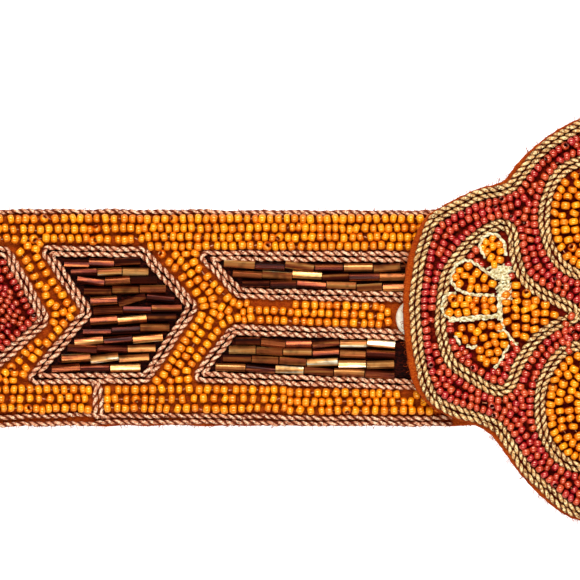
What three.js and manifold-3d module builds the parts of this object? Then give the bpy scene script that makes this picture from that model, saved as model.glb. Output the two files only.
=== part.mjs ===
// A beaded waist belt, fastened and lying flat on a table as a doubled loop, in millimetres.
// X runs along the belt, Y across it and Z up. The origin is on the table, under the middle of the plaque.
import * as THREE from "three";
import { mergeVertices } from "three/addons/utils/BufferGeometryUtils.js";
import Module from "manifold-3d";

const wasm = await Module();
wasm.setup();

// Driving dimensions
const waistLength = 711; // round the middle of the band's cloth
const bandWidth = 52;
const bandThickness = 2;
const seedBeadHeight = 2.1;
const bugleHeight = 1.75;
const bugleRowPitch = 2.35;
const bandCordDiameter = 1.25;
const bandCordSpacing = 1.45; // between the middles of two cords laid side by side
const plaqueReach = 54.1; // from the plaque's middle to the middle of its edge cords, along X
const plaqueRise = 47; // the same along Y
const plaqueThickness = 2.2;
const plaqueFelt = 1; // bare cloth outside the plaque's edge cords, where its table says 1
const plaqueCordDiameter = 1.45;
const plaqueCordSpacing = 1.55;
const snapDiameter = 9.5;
const snapStemDiameter = 5;
const snapHeight = 4.4; // the plaque's clearance over the band's cloth
const snapCapThickness = 1.9;
const snapInset = 0.3; // the snap's middle, inside the middle of the plaque's edge cords
const seatGap = 0.25; // between pieces that lie on or beside each other
const coverGap = 0.6; // between the plaque's edge and the beads and cords that stop beside it
const layerGap = 0.6; // between the front and the back of the doubled band

// How the band lies, seen from the side
const endGap = 8; // from the plaque's middle to each end of the band
const tabEnd = 60; // the right end is sewn flat under the plaque up to here
const rampRadius = 35;
const foldRadius = 5.5;
const riseRadius = 40;
const riseAngle = THREE.MathUtils.degToRad(15);
const foldStep = THREE.MathUtils.degToRad(15);
const gentleStep = THREE.MathUtils.degToRad(10);

// Where the motifs lie on the band, as distances from the plaque's middle
const barNear = 47;
const rightBarNear = 60.5;
const barFar = 104.9;
const barSlant = 8.8;
const chevronTip = 107.4;
const chevronLength = 37.6;
const lozengeTip = 143.5;
const lozengePoint = 14.9;
const motifHalfHeight = 15.5;
const barNearRadius = 2;
const groundOverrun = 1; // the orange beads go on this far past the bars' near ends
const snapGap = 0.95; // between the snap's rim and the orange beads that stop beside it
const bluntCorner = 2; // radii of the motifs' corners
const tipCorner = 0.8;
const sharpCorner = 0.4;

// Corners of the motifs, at the middle of their cords. along is a share of the motif's own length from its
// start, across of motifHalfHeight, and round the corner's radius.
const chevronCorners = [
  { along: 0, across: 0.19, round: tipCorner },
  { along: 0.32, across: 1.03, round: bluntCorner },
  { along: 0.96, across: 1.05, round: sharpCorner },
  { along: 0.675, across: 0.1, round: bluntCorner },
  { along: 1.05, across: -0.94, round: sharpCorner },
  { along: 0.3, across: -0.93, round: bluntCorner },
];
const lozengeCorners = [
  { along: 1.12, across: -0.97, round: bluntCorner },
  { along: 0, across: -0.02, round: bluntCorner },
  { along: 0.64, across: 1.03, round: bluntCorner },
];
const barEnds = {
  upper: {
    far: [
      { slant: 0, across: 0.975, round: sharpCorner },
      { slant: 1, across: 0.39, round: bluntCorner },
    ],
    near: [0.316, 0.955],
  },
  lower: {
    far: [
      { slant: 0.82, across: -0.18, round: bluntCorner },
      { slant: -0.16, across: -0.91, round: sharpCorner },
    ],
    near: [-1.05, -0.27],
  },
};

// The left half of the plaque's edge cords from the top to the bottom, as shares of plaqueReach and of
// plaqueRise. felt is the width of bare cloth outside the cords, as a share of plaqueFelt.
const plaqueEdge = [
  { out: 0, up: 0.854, felt: 0.3 },
  { out: 0.08, up: 0.943, felt: 0.3 },
  { out: 0.2, up: 1.001, felt: 0.3 },
  { out: 0.32, up: 0.951, felt: 0.3 },
  { out: 0.462, up: 0.832, felt: 0.4 },
  { out: 0.53, up: 0.732, felt: 0.9 },
  { out: 0.572, up: 0.675, felt: 0.7 },
  { out: 0.63, up: 0.65, felt: 0.3 },
  { out: 0.702, up: 0.632, felt: 0.2 },
  { out: 0.863, up: 0.543, felt: 0.2 },
  { out: 0.92, up: 0.495, felt: 0.4 },
  { out: 0.965, up: 0.356, felt: 1.3 },
  { out: 0.991, up: 0.196, felt: 1.4 },
  { out: 1, up: 0.037, felt: 1.3 },
  { out: 0.987, up: -0.125, felt: 1.4 },
  { out: 0.956, up: -0.317, felt: 1.3 },
  { out: 0.905, up: -0.42, felt: 0.4 },
  { out: 0.834, up: -0.466, felt: 0.2 },
  { out: 0.7, up: -0.515, felt: 0.5 },
  { out: 0.628, up: -0.559, felt: 1 },
  { out: 0.585, up: -0.63, felt: 0.7 },
  { out: 0.51, up: -0.761, felt: 0.4 },
  { out: 0.39, up: -0.9, felt: 0.6 },
  { out: 0.288, up: -0.985, felt: 0.3 },
  { out: 0.19, up: -0.9995, felt: 0.3 },
  { out: 0.08, up: -0.949, felt: 0.3 },
  { out: 0, up: -0.872, felt: 0.3 },
];
// The left medallion's cords, the same way round.
const medallionEdge = [
  { out: 0.3, up: 0.045 },
  { out: 0.36, up: 0.083 },
  { out: 0.42, up: 0.12 },
  { out: 0.488, up: 0.17 },
  { out: 0.53, up: 0.226 },
  { out: 0.556, up: 0.33 },
  { out: 0.575, up: 0.45 },
  { out: 0.617, up: 0.48 },
  { out: 0.7, up: 0.438 },
  { out: 0.785, up: 0.352 },
  { out: 0.852, up: 0.241 },
  { out: 0.881, up: 0.083 },
  { out: 0.883, up: -0.07 },
  { out: 0.843, up: -0.213 },
  { out: 0.75, up: -0.3 },
  { out: 0.635, up: -0.366 },
  { out: 0.582, up: -0.345 },
  { out: 0.535, up: -0.22 },
  { out: 0.457, up: -0.1 },
  { out: 0.36, up: -0.022 },
  { out: 0.3, up: -0.003 },
];
const stemLevel = 0.021; // share of plaqueRise at which the medallions point at each other
const stemGap = 1.5; // from a medallion's cords to the stem between them
// The orange lobes: middle and half-sizes as shares of plaqueReach and plaqueRise.
const lobes = {
  upper: { out: 0.244, up: 0.512, halfLength: 0.184, halfHeight: 0.291 },
  lower: { out: 0.255, up: -0.448, halfLength: 0.193, halfHeight: 0.311 },
};
const lobeSides = 16;
const plaqueSamples = 54;
const medallionSamples = 26;
const snapSides = 16;

// Finishes
const orangeFelt = new THREE.MeshStandardMaterial({ color: 0xa84614, roughness: 0.95 });
const orangeGlass = new THREE.MeshStandardMaterial({ color: 0xe98a1c, roughness: 0.2 });
const redGlass = new THREE.MeshStandardMaterial({ color: 0xb02f24, roughness: 0.2 });
const bronzeGlass = new THREE.MeshStandardMaterial({ color: 0x6b3a22, roughness: 0.2, metalness: 0.7 });
const pinkCord = new THREE.MeshStandardMaterial({ color: 0xb98468, roughness: 0.5, metalness: 0.3 });
const goldCord = new THREE.MeshStandardMaterial({ color: 0xcaa066, roughness: 0.5, metalness: 0.3 });
const whitePlastic = new THREE.MeshStandardMaterial({ color: 0xe8e0c8, roughness: 0.4 });

const belt = new THREE.Group();

function addPiece(name, geometry, material) {
  geometry.computeVertexNormals();
  const piece = new THREE.Mesh(geometry, material);
  piece.name = name;
  belt.add(piece);
}

// Levels, from the table up
const clothFace = bandThickness / 2; // the band's outer face, from the middle of its cloth
const backLevel = clothFace + seedBeadHeight;
const frontLevel = backLevel + bandThickness + layerGap;
const plaqueUnderside = frontLevel + clothFace + snapHeight;
const plaqueFace = plaqueUnderside + plaqueThickness;
const tabLevel = plaqueUnderside - seatGap - clothFace;

// The route of the middle of the cloth, from its right end under the plaque, round the loop, to its left end.
// Each leg is straight, or an arc that turns by some radians, up from +X where it is positive.
const rampTurn = Math.acos(1 - (tabLevel - frontLevel) / (2 * rampRadius));
const rampSpan = 2 * rampRadius * Math.sin(rampTurn);
const foldTurn = Math.PI + riseAngle;
const foldTop = backLevel + foldRadius * (1 + Math.cos(riseAngle));
const riseLength =
  (foldTop - frontLevel - riseRadius * (1 - Math.cos(riseAngle))) / Math.sin(riseAngle);
const riseSpan =
  (riseRadius + foldRadius) * Math.sin(riseAngle) + riseLength * Math.cos(riseAngle);
const riseAndFold = riseRadius * riseAngle + riseLength + foldRadius * foldTurn;
const foldMiddle =
  (waistLength + rampSpan - 2 * rampRadius * rampTurn + 2 * riseSpan - 2 * riseAndFold) / 4;
const riseStart = foldMiddle - riseSpan;

const straight = (length) => ({ length, turn: 0 });
const arc = (radius, turn, step) => ({ length: radius * Math.abs(turn), turn, step });
const rightRise = [
  arc(riseRadius, riseAngle, gentleStep),
  straight(riseLength),
  arc(foldRadius, -foldTurn, foldStep),
];
const leftRise = [
  arc(foldRadius, -foldTurn, foldStep),
  straight(riseLength),
  arc(riseRadius, riseAngle, gentleStep),
];
const route = [
  straight(tabEnd - endGap),
  arc(rampRadius, -rampTurn, gentleStep),
  arc(rampRadius, rampTurn, gentleStep),
  straight(riseStart - tabEnd - rampSpan),
  ...rightRise,
  straight(2 * foldMiddle),
  ...leftRise,
  straight(riseStart - endGap),
];
const sum = (values) => values.reduce((total, value) => total + value, 0);
const routeLength = sum(route.map((leg) => leg.length));
const legStart = (index) => sum(route.slice(0, index).map((leg) => leg.length));
const rightFoldStart = legStart(route.indexOf(rightRise[2]));
const leftFoldStart = legStart(route.indexOf(leftRise[0]));
const rightFoldMiddle = rightFoldStart + foldRadius * (riseAngle + Math.PI / 2);
const leftFoldMiddle = leftFoldStart + foldRadius * (Math.PI / 2);

// Lengths along the route at which a flat piece may bend. A point this close to one counts as on it.
const bendLines = route.flatMap((leg, index) => {
  const pieces = leg.turn ? Math.ceil(Math.abs(leg.turn) / leg.step) : 1;
  return Array.from({ length: pieces }, (_, k) => legStart(index) + (leg.length * k) / pieces);
});
const nearLine = 0.08;
const cornerStep = THREE.MathUtils.degToRad(50);
const sharpest = 0.15; // the least radius of a moved corner

// Where a point at length s along the cloth, y across it and h out from its middle lies in space.
function onBand(s, y, h) {
  let [x, z, heading, left] = [endGap, tabLevel, 0, s];
  for (const { length, turn } of route) {
    const going = Math.min(left, length);
    if (turn) {
      const bend = turn / length;
      const next = heading + bend * going;
      x += (Math.sin(next) - Math.sin(heading)) / bend;
      z += (Math.cos(heading) - Math.cos(next)) / bend;
      heading = next;
    } else {
      x += going * Math.cos(heading);
      z += going * Math.sin(heading);
    }
    left -= going;
    if (left <= 0) break;
  }
  return [x - h * Math.sin(heading), y, z + h * Math.cos(heading)];
}

// Closed geometry with shared vertices, from position alone.
function welded(geometry) {
  const bare = geometry.clone();
  bare.deleteAttribute("normal");
  bare.deleteAttribute("uv");
  return mergeVertices(bare, 1e-4);
}

function solidOf(geometry) {
  const mesh = welded(geometry);
  return new wasm.Manifold(
    new wasm.Mesh({
      numProp: 3,
      vertProperties: mesh.attributes.position.array,
      triVerts: new Uint32Array(mesh.index.array),
    }),
  );
}

function geometryOf(solid) {
  const { vertProperties, triVerts } = solid.getMesh();
  const geometry = new THREE.BufferGeometry();
  geometry.setAttribute("position", new THREE.BufferAttribute(new Float32Array(vertProperties), 3));
  geometry.setIndex(new THREE.BufferAttribute(new Uint32Array(triVerts), 1));
  return geometry;
}

// Collects corners given as [s, y, h], each once, and the faces between them, and bends them to the route.
class BentSurface {
  corners = new Map();
  positions = [];
  faces = [];

  cornerAt(point) {
    const key = point.map((value) => Math.round(value * 1e4)).join();
    if (!this.corners.has(key)) {
      this.corners.set(key, this.corners.size);
      this.positions.push(...onBand(...point));
    }
    return this.corners.get(key);
  }

  addFace(...points) {
    const ids = points.map((point) => this.cornerAt(point));
    for (let k = 2; k < ids.length; k += 1) this.faces.push(ids[0], ids[k - 1], ids[k]);
  }

  geometry() {
    const geometry = new THREE.BufferGeometry();
    geometry.setAttribute("position", new THREE.Float32BufferAttribute(this.positions, 3));
    geometry.setIndex(this.faces);
    return geometry;
  }
}

// Where the side between two points crosses a bend line.
function crossing(a, b, line) {
  const [lower, upper] = a[0] < b[0] ? [a, b] : [b, a];
  const share = (line - lower[0]) / (upper[0] - lower[0]);
  return lower.map((value, axis) => value + share * (upper[axis] - value));
}

// Cuts a convex polygon along a bend line, and gives the part below and the part above it.
function cutFace(polygon, line) {
  const [below, above] = [[], []];
  polygon.forEach((a, i) => {
    const b = polygon[(i + 1) % polygon.length];
    if (a[0] <= line + nearLine) below.push(a);
    if (a[0] >= line - nearLine) above.push(a);
    if (Math.min(a[0], b[0]) < line - nearLine && Math.max(a[0], b[0]) > line + nearLine) {
      const cut = crossing(a, b, line);
      below.push(cut);
      above.push(cut);
    }
  });
  return [below, above];
}

// Bends any piece that is modelled flat, with s, y and h in place of x, y and z.
function bent(flat) {
  const surface = new BentSurface();
  const points = flat.attributes.position;
  for (let i = 0; i < flat.index.count; i += 3) {
    let face = [0, 1, 2].map((k) => {
      const v = flat.index.getX(i + k);
      return [points.getX(v), points.getY(v), points.getZ(v)];
    });
    const low = Math.min(...face.map((point) => point[0])) + nearLine;
    const high = Math.max(...face.map((point) => point[0])) - nearLine;
    for (const line of bendLines.filter((at) => at > low && at < high)) {
      const [below, above] = cutFace(face, line);
      surface.addFace(...below);
      face = above;
    }
    surface.addFace(...face);
  }
  return surface.geometry();
}

// Cuts closed contours of [s, y] points along a bend line, and gives the contours below and above it.
// Where a contour crosses the line, the cut runs on to the other end of the same inside stretch.
function cutContours(contours, line) {
  const parts = [[], []];
  const [rising, falling, runs] = [[], [], []];
  for (const contour of contours) {
    const points = contour.map(([s, y]) => (Math.abs(s - line) < nearLine ? [line, y] : [s, y]));
    const sides = points.map(([s]) => (s > line ? 1 : 0));
    const first = sides.findIndex((side, i) => side !== sides.at(i - 1));
    if (first < 0) {
      parts[sides[0]].push(points);
      continue;
    }
    const contourRuns = [];
    for (let k = 0; k < points.length; k += 1) {
      const i = (first + k) % points.length;
      if (sides[i] !== sides.at(i - 1)) {
        const start = { point: crossing(points.at(i - 1), points[i], line) };
        start.run = { side: sides[i], start, points: [] };
        contourRuns.push(start.run);
        (sides[i] ? rising : falling).push(start);
      }
      contourRuns.at(-1).points.push(points[i]);
    }
    contourRuns.forEach((run, i) => {
      run.end = contourRuns[(i + 1) % contourRuns.length].start;
    });
    runs.push(...contourRuns);
  }
  const upward = (a, b) => a.point[1] - b.point[1];
  rising.sort(upward);
  falling.sort(upward);
  rising.forEach((start, k) => {
    start.partner = falling[k];
    falling[k].partner = start;
  });
  for (const firstRun of runs) {
    const contour = [];
    for (let run = firstRun; !run.used; run = run.end.partner.run) {
      run.used = true;
      contour.push(run.start.point, ...run.points, run.end.point);
    }
    const distinct = contour.filter(([s, y], i) => {
      const [lastS, lastY] = contour.at(i - 1);
      return Math.hypot(s - lastS, y - lastY) > 1e-6;
    });
    if (Math.abs(area(distinct)) > 1e-4) parts[firstRun.side].push(distinct);
  }
  return parts;
}

const area = (points) => THREE.ShapeUtils.area(points.map(([x, y]) => ({ x, y })));

// Bends a slab with upright sides, from height low to height high, that covers the inside of closed contours.
function bentSlab(contours, low, high) {
  const surface = new BentSurface();
  const strips = [];
  let rest = contours;
  for (const line of bendLines) {
    const [below, above] = cutContours(rest, line);
    strips.push(below);
    rest = above;
  }
  const sides = new Map();
  for (const strip of [...strips, rest]) {
    const points = strip.flat();
    for (const triangle of strip.length ? wasm.triangulate(strip) : []) {
      const [a, b, c] = triangle.map((index) => points[index]);
      surface.addFace([...a, high], [...b, high], [...c, high]);
      surface.addFace([...c, low], [...b, low], [...a, low]);
    }
    for (const contour of strip) {
      contour.forEach((b, i) => {
        const a = contour.at(i - 1);
        const [from, to] = [surface.cornerAt([...a, low]), surface.cornerAt([...b, low])];
        if (!sides.delete(`${to} ${from}`)) sides.set(`${from} ${to}`, [a, b]);
      });
    }
  }
  for (const [a, b] of sides.values()) {
    surface.addFace([...a, low], [...b, low], [...b, high], [...a, high]);
  }
  return surface.geometry();
}

// Lines are lists of Vector2. Closed ones run anticlockwise.
function closedLine(points) {
  const line = points.map(([x, y]) => new THREE.Vector2(x, y));
  return THREE.ShapeUtils.isClockWise(line) ? line.reverse() : line;
}

const rectangle = (left, right, low, high) =>
  closedLine([[left, low], [right, low], [right, high], [left, high]]);

// The direction in which a corner moves when its sides move outwards, long enough to move them by 1.
function outward(line, index, open = false) {
  const count = line.length;
  const here = line[index];
  const before = line[(index + count - 1) % count];
  const after = line[(index + 1) % count];
  const normal = (from, to) => new THREE.Vector2(to.y - from.y, from.x - to.x).normalize();
  if (open && index === 0) return normal(here, after);
  if (open && index === count - 1) return normal(before, here);
  const [a, b] = [normal(before, here), normal(here, after)];
  return a.clone().add(b).divideScalar(1 + a.dot(b));
}

const moved = (line, distance, open) =>
  line.map((point, i) => point.clone().addScaledVector(outward(line, i, open), distance));

// An outline is a function that gives a closed line at some distance outside the outline itself, always with
// the same number of points.
const outlineOf = (line) => (distance) => moved(line, distance);
const openOutlineOf = (line) => (distance) => moved(line, distance, true);

// An outline with rounded corners, from corners given as x, y and round.
function roundedOutline(corners) {
  const line = closedLine(corners.map(({ x, y }) => [x, y]));
  const radii = line.map((point) => corners.find(({ x, y }) => point.x === x && point.y === y).round);
  return (distance) =>
    moved(line, distance).flatMap((corner, i) => roundCorner(line, i, corner, radii[i], distance));
}

// The points of one rounded corner, turned as that corner of the line is and moved outwards with its sides.
function roundCorner(line, i, corner, radius, distance) {
  const back = line.at(i - 1).clone().sub(line[i]).normalize();
  const ahead = line[(i + 1) % line.length].clone().sub(line[i]).normalize();
  const turn = Math.PI - Math.acos(THREE.MathUtils.clamp(back.dot(ahead), -1, 1));
  const side = Math.sign(ahead.cross(back));
  const bend = Math.max(sharpest, radius + side * distance);
  const inwards = back.clone().add(ahead).normalize().multiplyScalar(bend / Math.cos(turn / 2));
  const start = back.clone().multiplyScalar(bend * Math.tan(turn / 2)).sub(inwards);
  const steps = Math.max(1, Math.round(turn / cornerStep));
  return Array.from({ length: steps + 1 }, (_, k) =>
    start.clone().rotateAround(new THREE.Vector2(), (side * turn * k) / steps).add(inwards).add(corner),
  );
}

function smoothed(line, samples) {
  const curve = new THREE.CatmullRomCurve3(
    line.map((point) => new THREE.Vector3(point.x, point.y, 0)),
    true,
    "centripetal",
  );
  return curve.getSpacedPoints(samples).slice(0, -1).map((point) => new THREE.Vector2(point.x, point.y));
}

// A flat slab inside a closed line, from height low to height high.
function slab(line, low, high, holes = []) {
  const shape = new THREE.Shape(line);
  shape.holes = holes.map((hole) => new THREE.Path(hole));
  const geometry = new THREE.ExtrudeGeometry(shape, { depth: high - low, bevelEnabled: false });
  return welded(geometry.translate(0, 0, low));
}

// The section of two cords laid side by side, or of one cord, as offset and height.
const pairSection = (diameter, spacing) => [
  [-(spacing + diameter) / 2, 0],
  [(spacing + diameter) / 2, 0],
  [spacing / 2, diameter],
  [0, diameter * 0.6],
  [-spacing / 2, diameter],
];
const singleSection = (diameter) => [
  [-diameter * 0.3, 0],
  [diameter * 0.3, 0],
  [diameter / 2, diameter * 0.6],
  [0, diameter],
  [-diameter / 2, diameter * 0.6],
];

// Adds points at the bend lines to an outline's sides that run along the band, except close to corners.
function stationed(outline, open = false) {
  const cornerRoom = 4;
  const stops = outline(0).map((from, i, line) => {
    const to = line[(i + 1) % line.length];
    const slanted = Math.abs(to.y - from.y) > 0.05 * Math.abs(to.x - from.x);
    if (slanted || (open && i === line.length - 1)) return [];
    const [low, high] = [Math.min(from.x, to.x) + cornerRoom, Math.max(from.x, to.x) - cornerRoom];
    const between = bendLines.filter((at) => at > low && at < high);
    return to.x < from.x ? between.reverse() : between;
  });
  return (distance) =>
    outline(distance).flatMap((from, i, line) => {
      const to = line[(i + 1) % line.length];
      return [from, ...stops[i].map((at) => from.clone().lerp(to, (at - from.x) / (to.x - from.x)))];
    });
}

// Sweeps a section along an outline at height low. An open one gets end caps.
function cord(outline, section, low, open = false) {
  const lines = section.map(([offset]) => outline(offset));
  const [count, sides] = [lines[0].length, section.length];
  const positions = lines[0].flatMap((_, i) =>
    section.flatMap(([, height], k) => [lines[k][i].x, lines[k][i].y, low + height]),
  );
  const faces = [];
  for (let i = 0; i < (open ? count - 1 : count); i += 1) {
    for (let k = 0; k < sides; k += 1) {
      const [here, there] = [i * sides, ((i + 1) % count) * sides];
      const next = (k + 1) % sides;
      faces.push(here + k, there + k, there + next, here + k, there + next, here + next);
    }
  }
  if (open) {
    const cap = THREE.ShapeUtils.triangulateShape(section.map(([x, y]) => new THREE.Vector2(x, y)), []);
    const last = (count - 1) * sides;
    for (const [a, b, c] of cap) faces.push(a, b, c, last + c, last + b, last + a);
  }
  const geometry = new THREE.BufferGeometry();
  geometry.setAttribute("position", new THREE.Float32BufferAttribute(positions, 3));
  geometry.setIndex(faces);
  return geometry;
}

// Room that a pair of cords takes on each side of its middle
const bandPairReach = (bandCordSpacing + bandCordDiameter) / 2;
const plaquePairReach = (plaqueCordSpacing + plaqueCordDiameter) / 2;
const bandPair = pairSection(bandCordDiameter, bandCordSpacing);
const plaquePair = pairSection(plaqueCordDiameter, plaqueCordSpacing);
const bandSeat = clothFace + seatGap;
const bandBeadTop = clothFace + seedBeadHeight;

// The plaque's outlines
const onPlaque = (side, { out, up }) => [side * out * plaqueReach, up * plaqueRise];

// Both halves of the plaque's edge, anticlockwise from the top.
const wholeEdge = [
  ...plaqueEdge.map((row) => ({ side: -1, ...row })),
  ...plaqueEdge.slice(1, -1).reverse().map((row) => ({ side: 1, ...row })),
];
const edgeLine = wholeEdge.map((row) => new THREE.Vector2(...onPlaque(row.side, row)));
const plaqueCordLine = smoothed(edgeLine, plaqueSamples);
const feltReach = (row) => plaquePairReach + row.felt * plaqueFelt;
const plaqueClothLine = smoothed(
  edgeLine.map((point, i) =>
    point.clone().addScaledVector(outward(edgeLine, i).normalize(), feltReach(wholeEdge[i])),
  ),
  plaqueSamples,
);

// Distances from the plaque's middle to lengths along the route. The back mirrors the front about each fold.
const rampExtra = 2 * rampRadius * rampTurn - rampSpan;
const onLeft = (distance) => routeLength + endGap - distance;
const onRight = (distance) => distance - endGap + rampExtra;
const onBackLeft = (distance) => 2 * leftFoldMiddle - onLeft(distance);
const onBackRight = (distance) => 2 * rightFoldMiddle - onRight(distance);
const onTab = (distance) => distance - endGap;
const plaqueOnTab = moved(plaqueClothLine, coverGap).map((point) => point.setX(onTab(point.x)));
const fieldEnd = onLeft(barNear - groundOverrun - bandPairReach);

function chevronOutline(place) {
  return roundedOutline(
    chevronCorners.map(({ along, across, round }) => ({
      x: place(chevronTip + along * chevronLength),
      y: across * motifHalfHeight,
      round,
    })),
  );
}

function lozengeOutline(place, mirroredPlace) {
  const side = (at) =>
    lozengeCorners.map(({ along, across, round }) => ({
      x: at(lozengeTip + along * lozengePoint),
      y: across * motifHalfHeight,
      round,
    }));
  return roundedOutline([...side(place), ...side(mirroredPlace).reverse()]);
}

function barEnd({ far }, place) {
  return far.map(({ slant, across, round }) => ({
    x: place(barFar - slant * barSlant),
    y: across * motifHalfHeight,
    round,
  }));
}

function barOutline(ends, place, near) {
  const nearEnd = ends.near.map((across) => ({
    x: place(near),
    y: across * motifHalfHeight,
    round: barNearRadius,
  }));
  return roundedOutline([...barEnd(ends, place), ...nearEnd]);
}

function backBarOutline(ends) {
  return roundedOutline([...barEnd(ends, onBackLeft), ...barEnd(ends, onBackRight).reverse()]);
}

// The stretch of a closed line's inside at height y, as its lowest and highest x.
function spanAt(line, y) {
  const crossings = line.flatMap((a, i) => {
    const b = line[(i + 1) % line.length];
    return a.y > y === b.y > y ? [] : [a.x + ((y - a.y) / (b.y - a.y)) * (b.x - a.x)];
  });
  return [Math.min(...crossings), Math.max(...crossings)];
}

const contourOf = (line) => line.map((point) => [point.x, point.y]);
const region = (line) => new wasm.CrossSection([contourOf(line)]);

// Rows of glass tubes side by side, as ridges with flat tops that fill a closed line.
function bugleField(line) {
  const lengths = line.map((point) => point.x);
  const heights = line.map((point) => point.y);
  const [start, end] = [Math.min(...lengths) - 1, Math.max(...lengths) + 1];
  const [low, high] = [Math.min(...heights), Math.max(...heights)];
  const rows = Math.round((high - low) / bugleRowPitch);
  const pitch = (high - low) / rows;
  const ridges = Array.from({ length: rows }, (_, row) => [
    new THREE.Vector2(low + row * pitch, bandSeat + bugleHeight / 2),
    new THREE.Vector2(low + (row + 0.28) * pitch, bandSeat + bugleHeight),
    new THREE.Vector2(low + (row + 0.72) * pitch, bandSeat + bugleHeight),
  ]).flat();
  const section = new THREE.Shape([
    new THREE.Vector2(low, bandSeat),
    ...ridges,
    new THREE.Vector2(high, bandSeat + bugleHeight / 2),
    new THREE.Vector2(high, bandSeat),
  ]);
  const ridged = new THREE.ExtrudeGeometry(section, { depth: end - start, bevelEnabled: false });
  const alongBand = new THREE.Matrix4().makeBasis(
    new THREE.Vector3(0, 1, 0),
    new THREE.Vector3(0, 0, 1),
    new THREE.Vector3(1, 0, 0),
  );
  ridged.applyMatrix4(alongBand.setPosition(start, 0, 0));
  const inside = solidOf(slab(line, bandSeat - 1, bandSeat + bugleHeight + 1));
  return geometryOf(solidOf(ridged).intersect(inside));
}

// Band: cloth, edge cords, motifs and the orange beads round them
const bugleMotifs = {
  chevron_front_left: chevronOutline(onLeft),
  chevron_front_right: chevronOutline(onRight),
  chevron_back_left: chevronOutline(onBackLeft),
  chevron_back_right: chevronOutline(onBackRight),
  bar_front_left_upper: barOutline(barEnds.upper, onLeft, barNear),
  bar_front_left_lower: barOutline(barEnds.lower, onLeft, barNear),
  bar_front_right_upper: barOutline(barEnds.upper, onRight, rightBarNear),
  bar_front_right_lower: barOutline(barEnds.lower, onRight, rightBarNear),
  bar_back_upper: backBarOutline(barEnds.upper),
  bar_back_lower: backBarOutline(barEnds.lower),
};
const redMotifs = {
  lozenge_left: lozengeOutline(onLeft, onBackLeft),
  lozenge_right: lozengeOutline(onRight, onBackRight),
};

function addBand() {
  const halfWidth = bandWidth / 2;
  const cloth = rectangle(0, routeLength, -halfWidth, halfWidth);
  addPiece("band_cloth", bentSlab([contourOf(cloth)], -clothFace, clothFace), orangeFelt);
  const upperEdge = halfWidth - bandCordDiameter / 2;
  const lowerEdge = bandPairReach - halfWidth;
  addPiece("edge_cord_upper", edgeCord(upperEdge, singleSection(bandCordDiameter)), pinkCord);
  addPiece("edge_cords_lower", edgeCord(lowerEdge, bandPair), pinkCord);
  addGround(lowerEdge + bandPairReach + seatGap, halfWidth - bandCordDiameter - seatGap);
}

// Cords along one edge of the band, from where the plaque covers them on the right to its cover on the left.
function edgeCord(y, section) {
  const covers = section.map(([offset]) => spanAt(plaqueOnTab, y + offset)[1]);
  const line = [new THREE.Vector2(Math.max(...covers), y), new THREE.Vector2(fieldEnd, y)];
  return bent(cord(stationed(openOutlineOf(line), true), section, bandSeat, true));
}

function addMotifs() {
  const inner = -bandPairReach - seatGap;
  for (const [name, outline] of Object.entries(bugleMotifs)) {
    addPiece(`${name}_cords`, bent(cord(stationed(outline), bandPair, bandSeat)), pinkCord);
    addPiece(`${name}_bugles`, bent(bugleField(outline(inner))), bronzeGlass);
  }
  for (const [name, outline] of Object.entries(redMotifs)) {
    const field = contourOf(outline(inner));
    addPiece(`${name}_cords`, bent(cord(stationed(outline), bandPair, bandSeat)), pinkCord);
    addPiece(`${name}_beads`, bentSlab([field], bandSeat, bandBeadTop), redGlass);
  }
}

// One field of orange beads covers the band round every motif, but not the places of the plaque and the snap.
function addGround(low, high) {
  const start = onTab(plaqueReach / 2);
  let ground = region(rectangle(start, fieldEnd, low, high));
  ground = ground.subtract(region(plaqueOnTab));
  for (const outline of [...Object.values(bugleMotifs), ...Object.values(redMotifs)]) {
    ground = ground.subtract(region(outline(bandPairReach + seatGap)));
  }
  const stripLow = Math.max(...barEnds.lower.near) * motifHalfHeight;
  const stripHigh = Math.min(...barEnds.upper.near) * motifHalfHeight;
  const snapFar = plaqueReach - snapInset + snapDiameter / 2 + snapGap;
  ground = ground.subtract(region(rectangle(onLeft(snapFar), fieldEnd + 1, stripLow, stripHigh)));
  addPiece("orange_bead_ground", bentSlab(ground.toPolygons(), bandSeat, bandBeadTop), orangeGlass);
}

// Plaque: cloth, edge cords, two medallions, four orange lobes and the red beads round them
function lobeOutline(side, { out, up, halfLength, halfHeight }) {
  const points = Array.from({ length: lobeSides }, (_, k) => {
    const angle = (2 * Math.PI * k) / lobeSides;
    return onPlaque(side, { out: out + halfLength * Math.cos(angle), up: up + halfHeight * Math.sin(angle) });
  });
  return closedLine(points);
}

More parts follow.
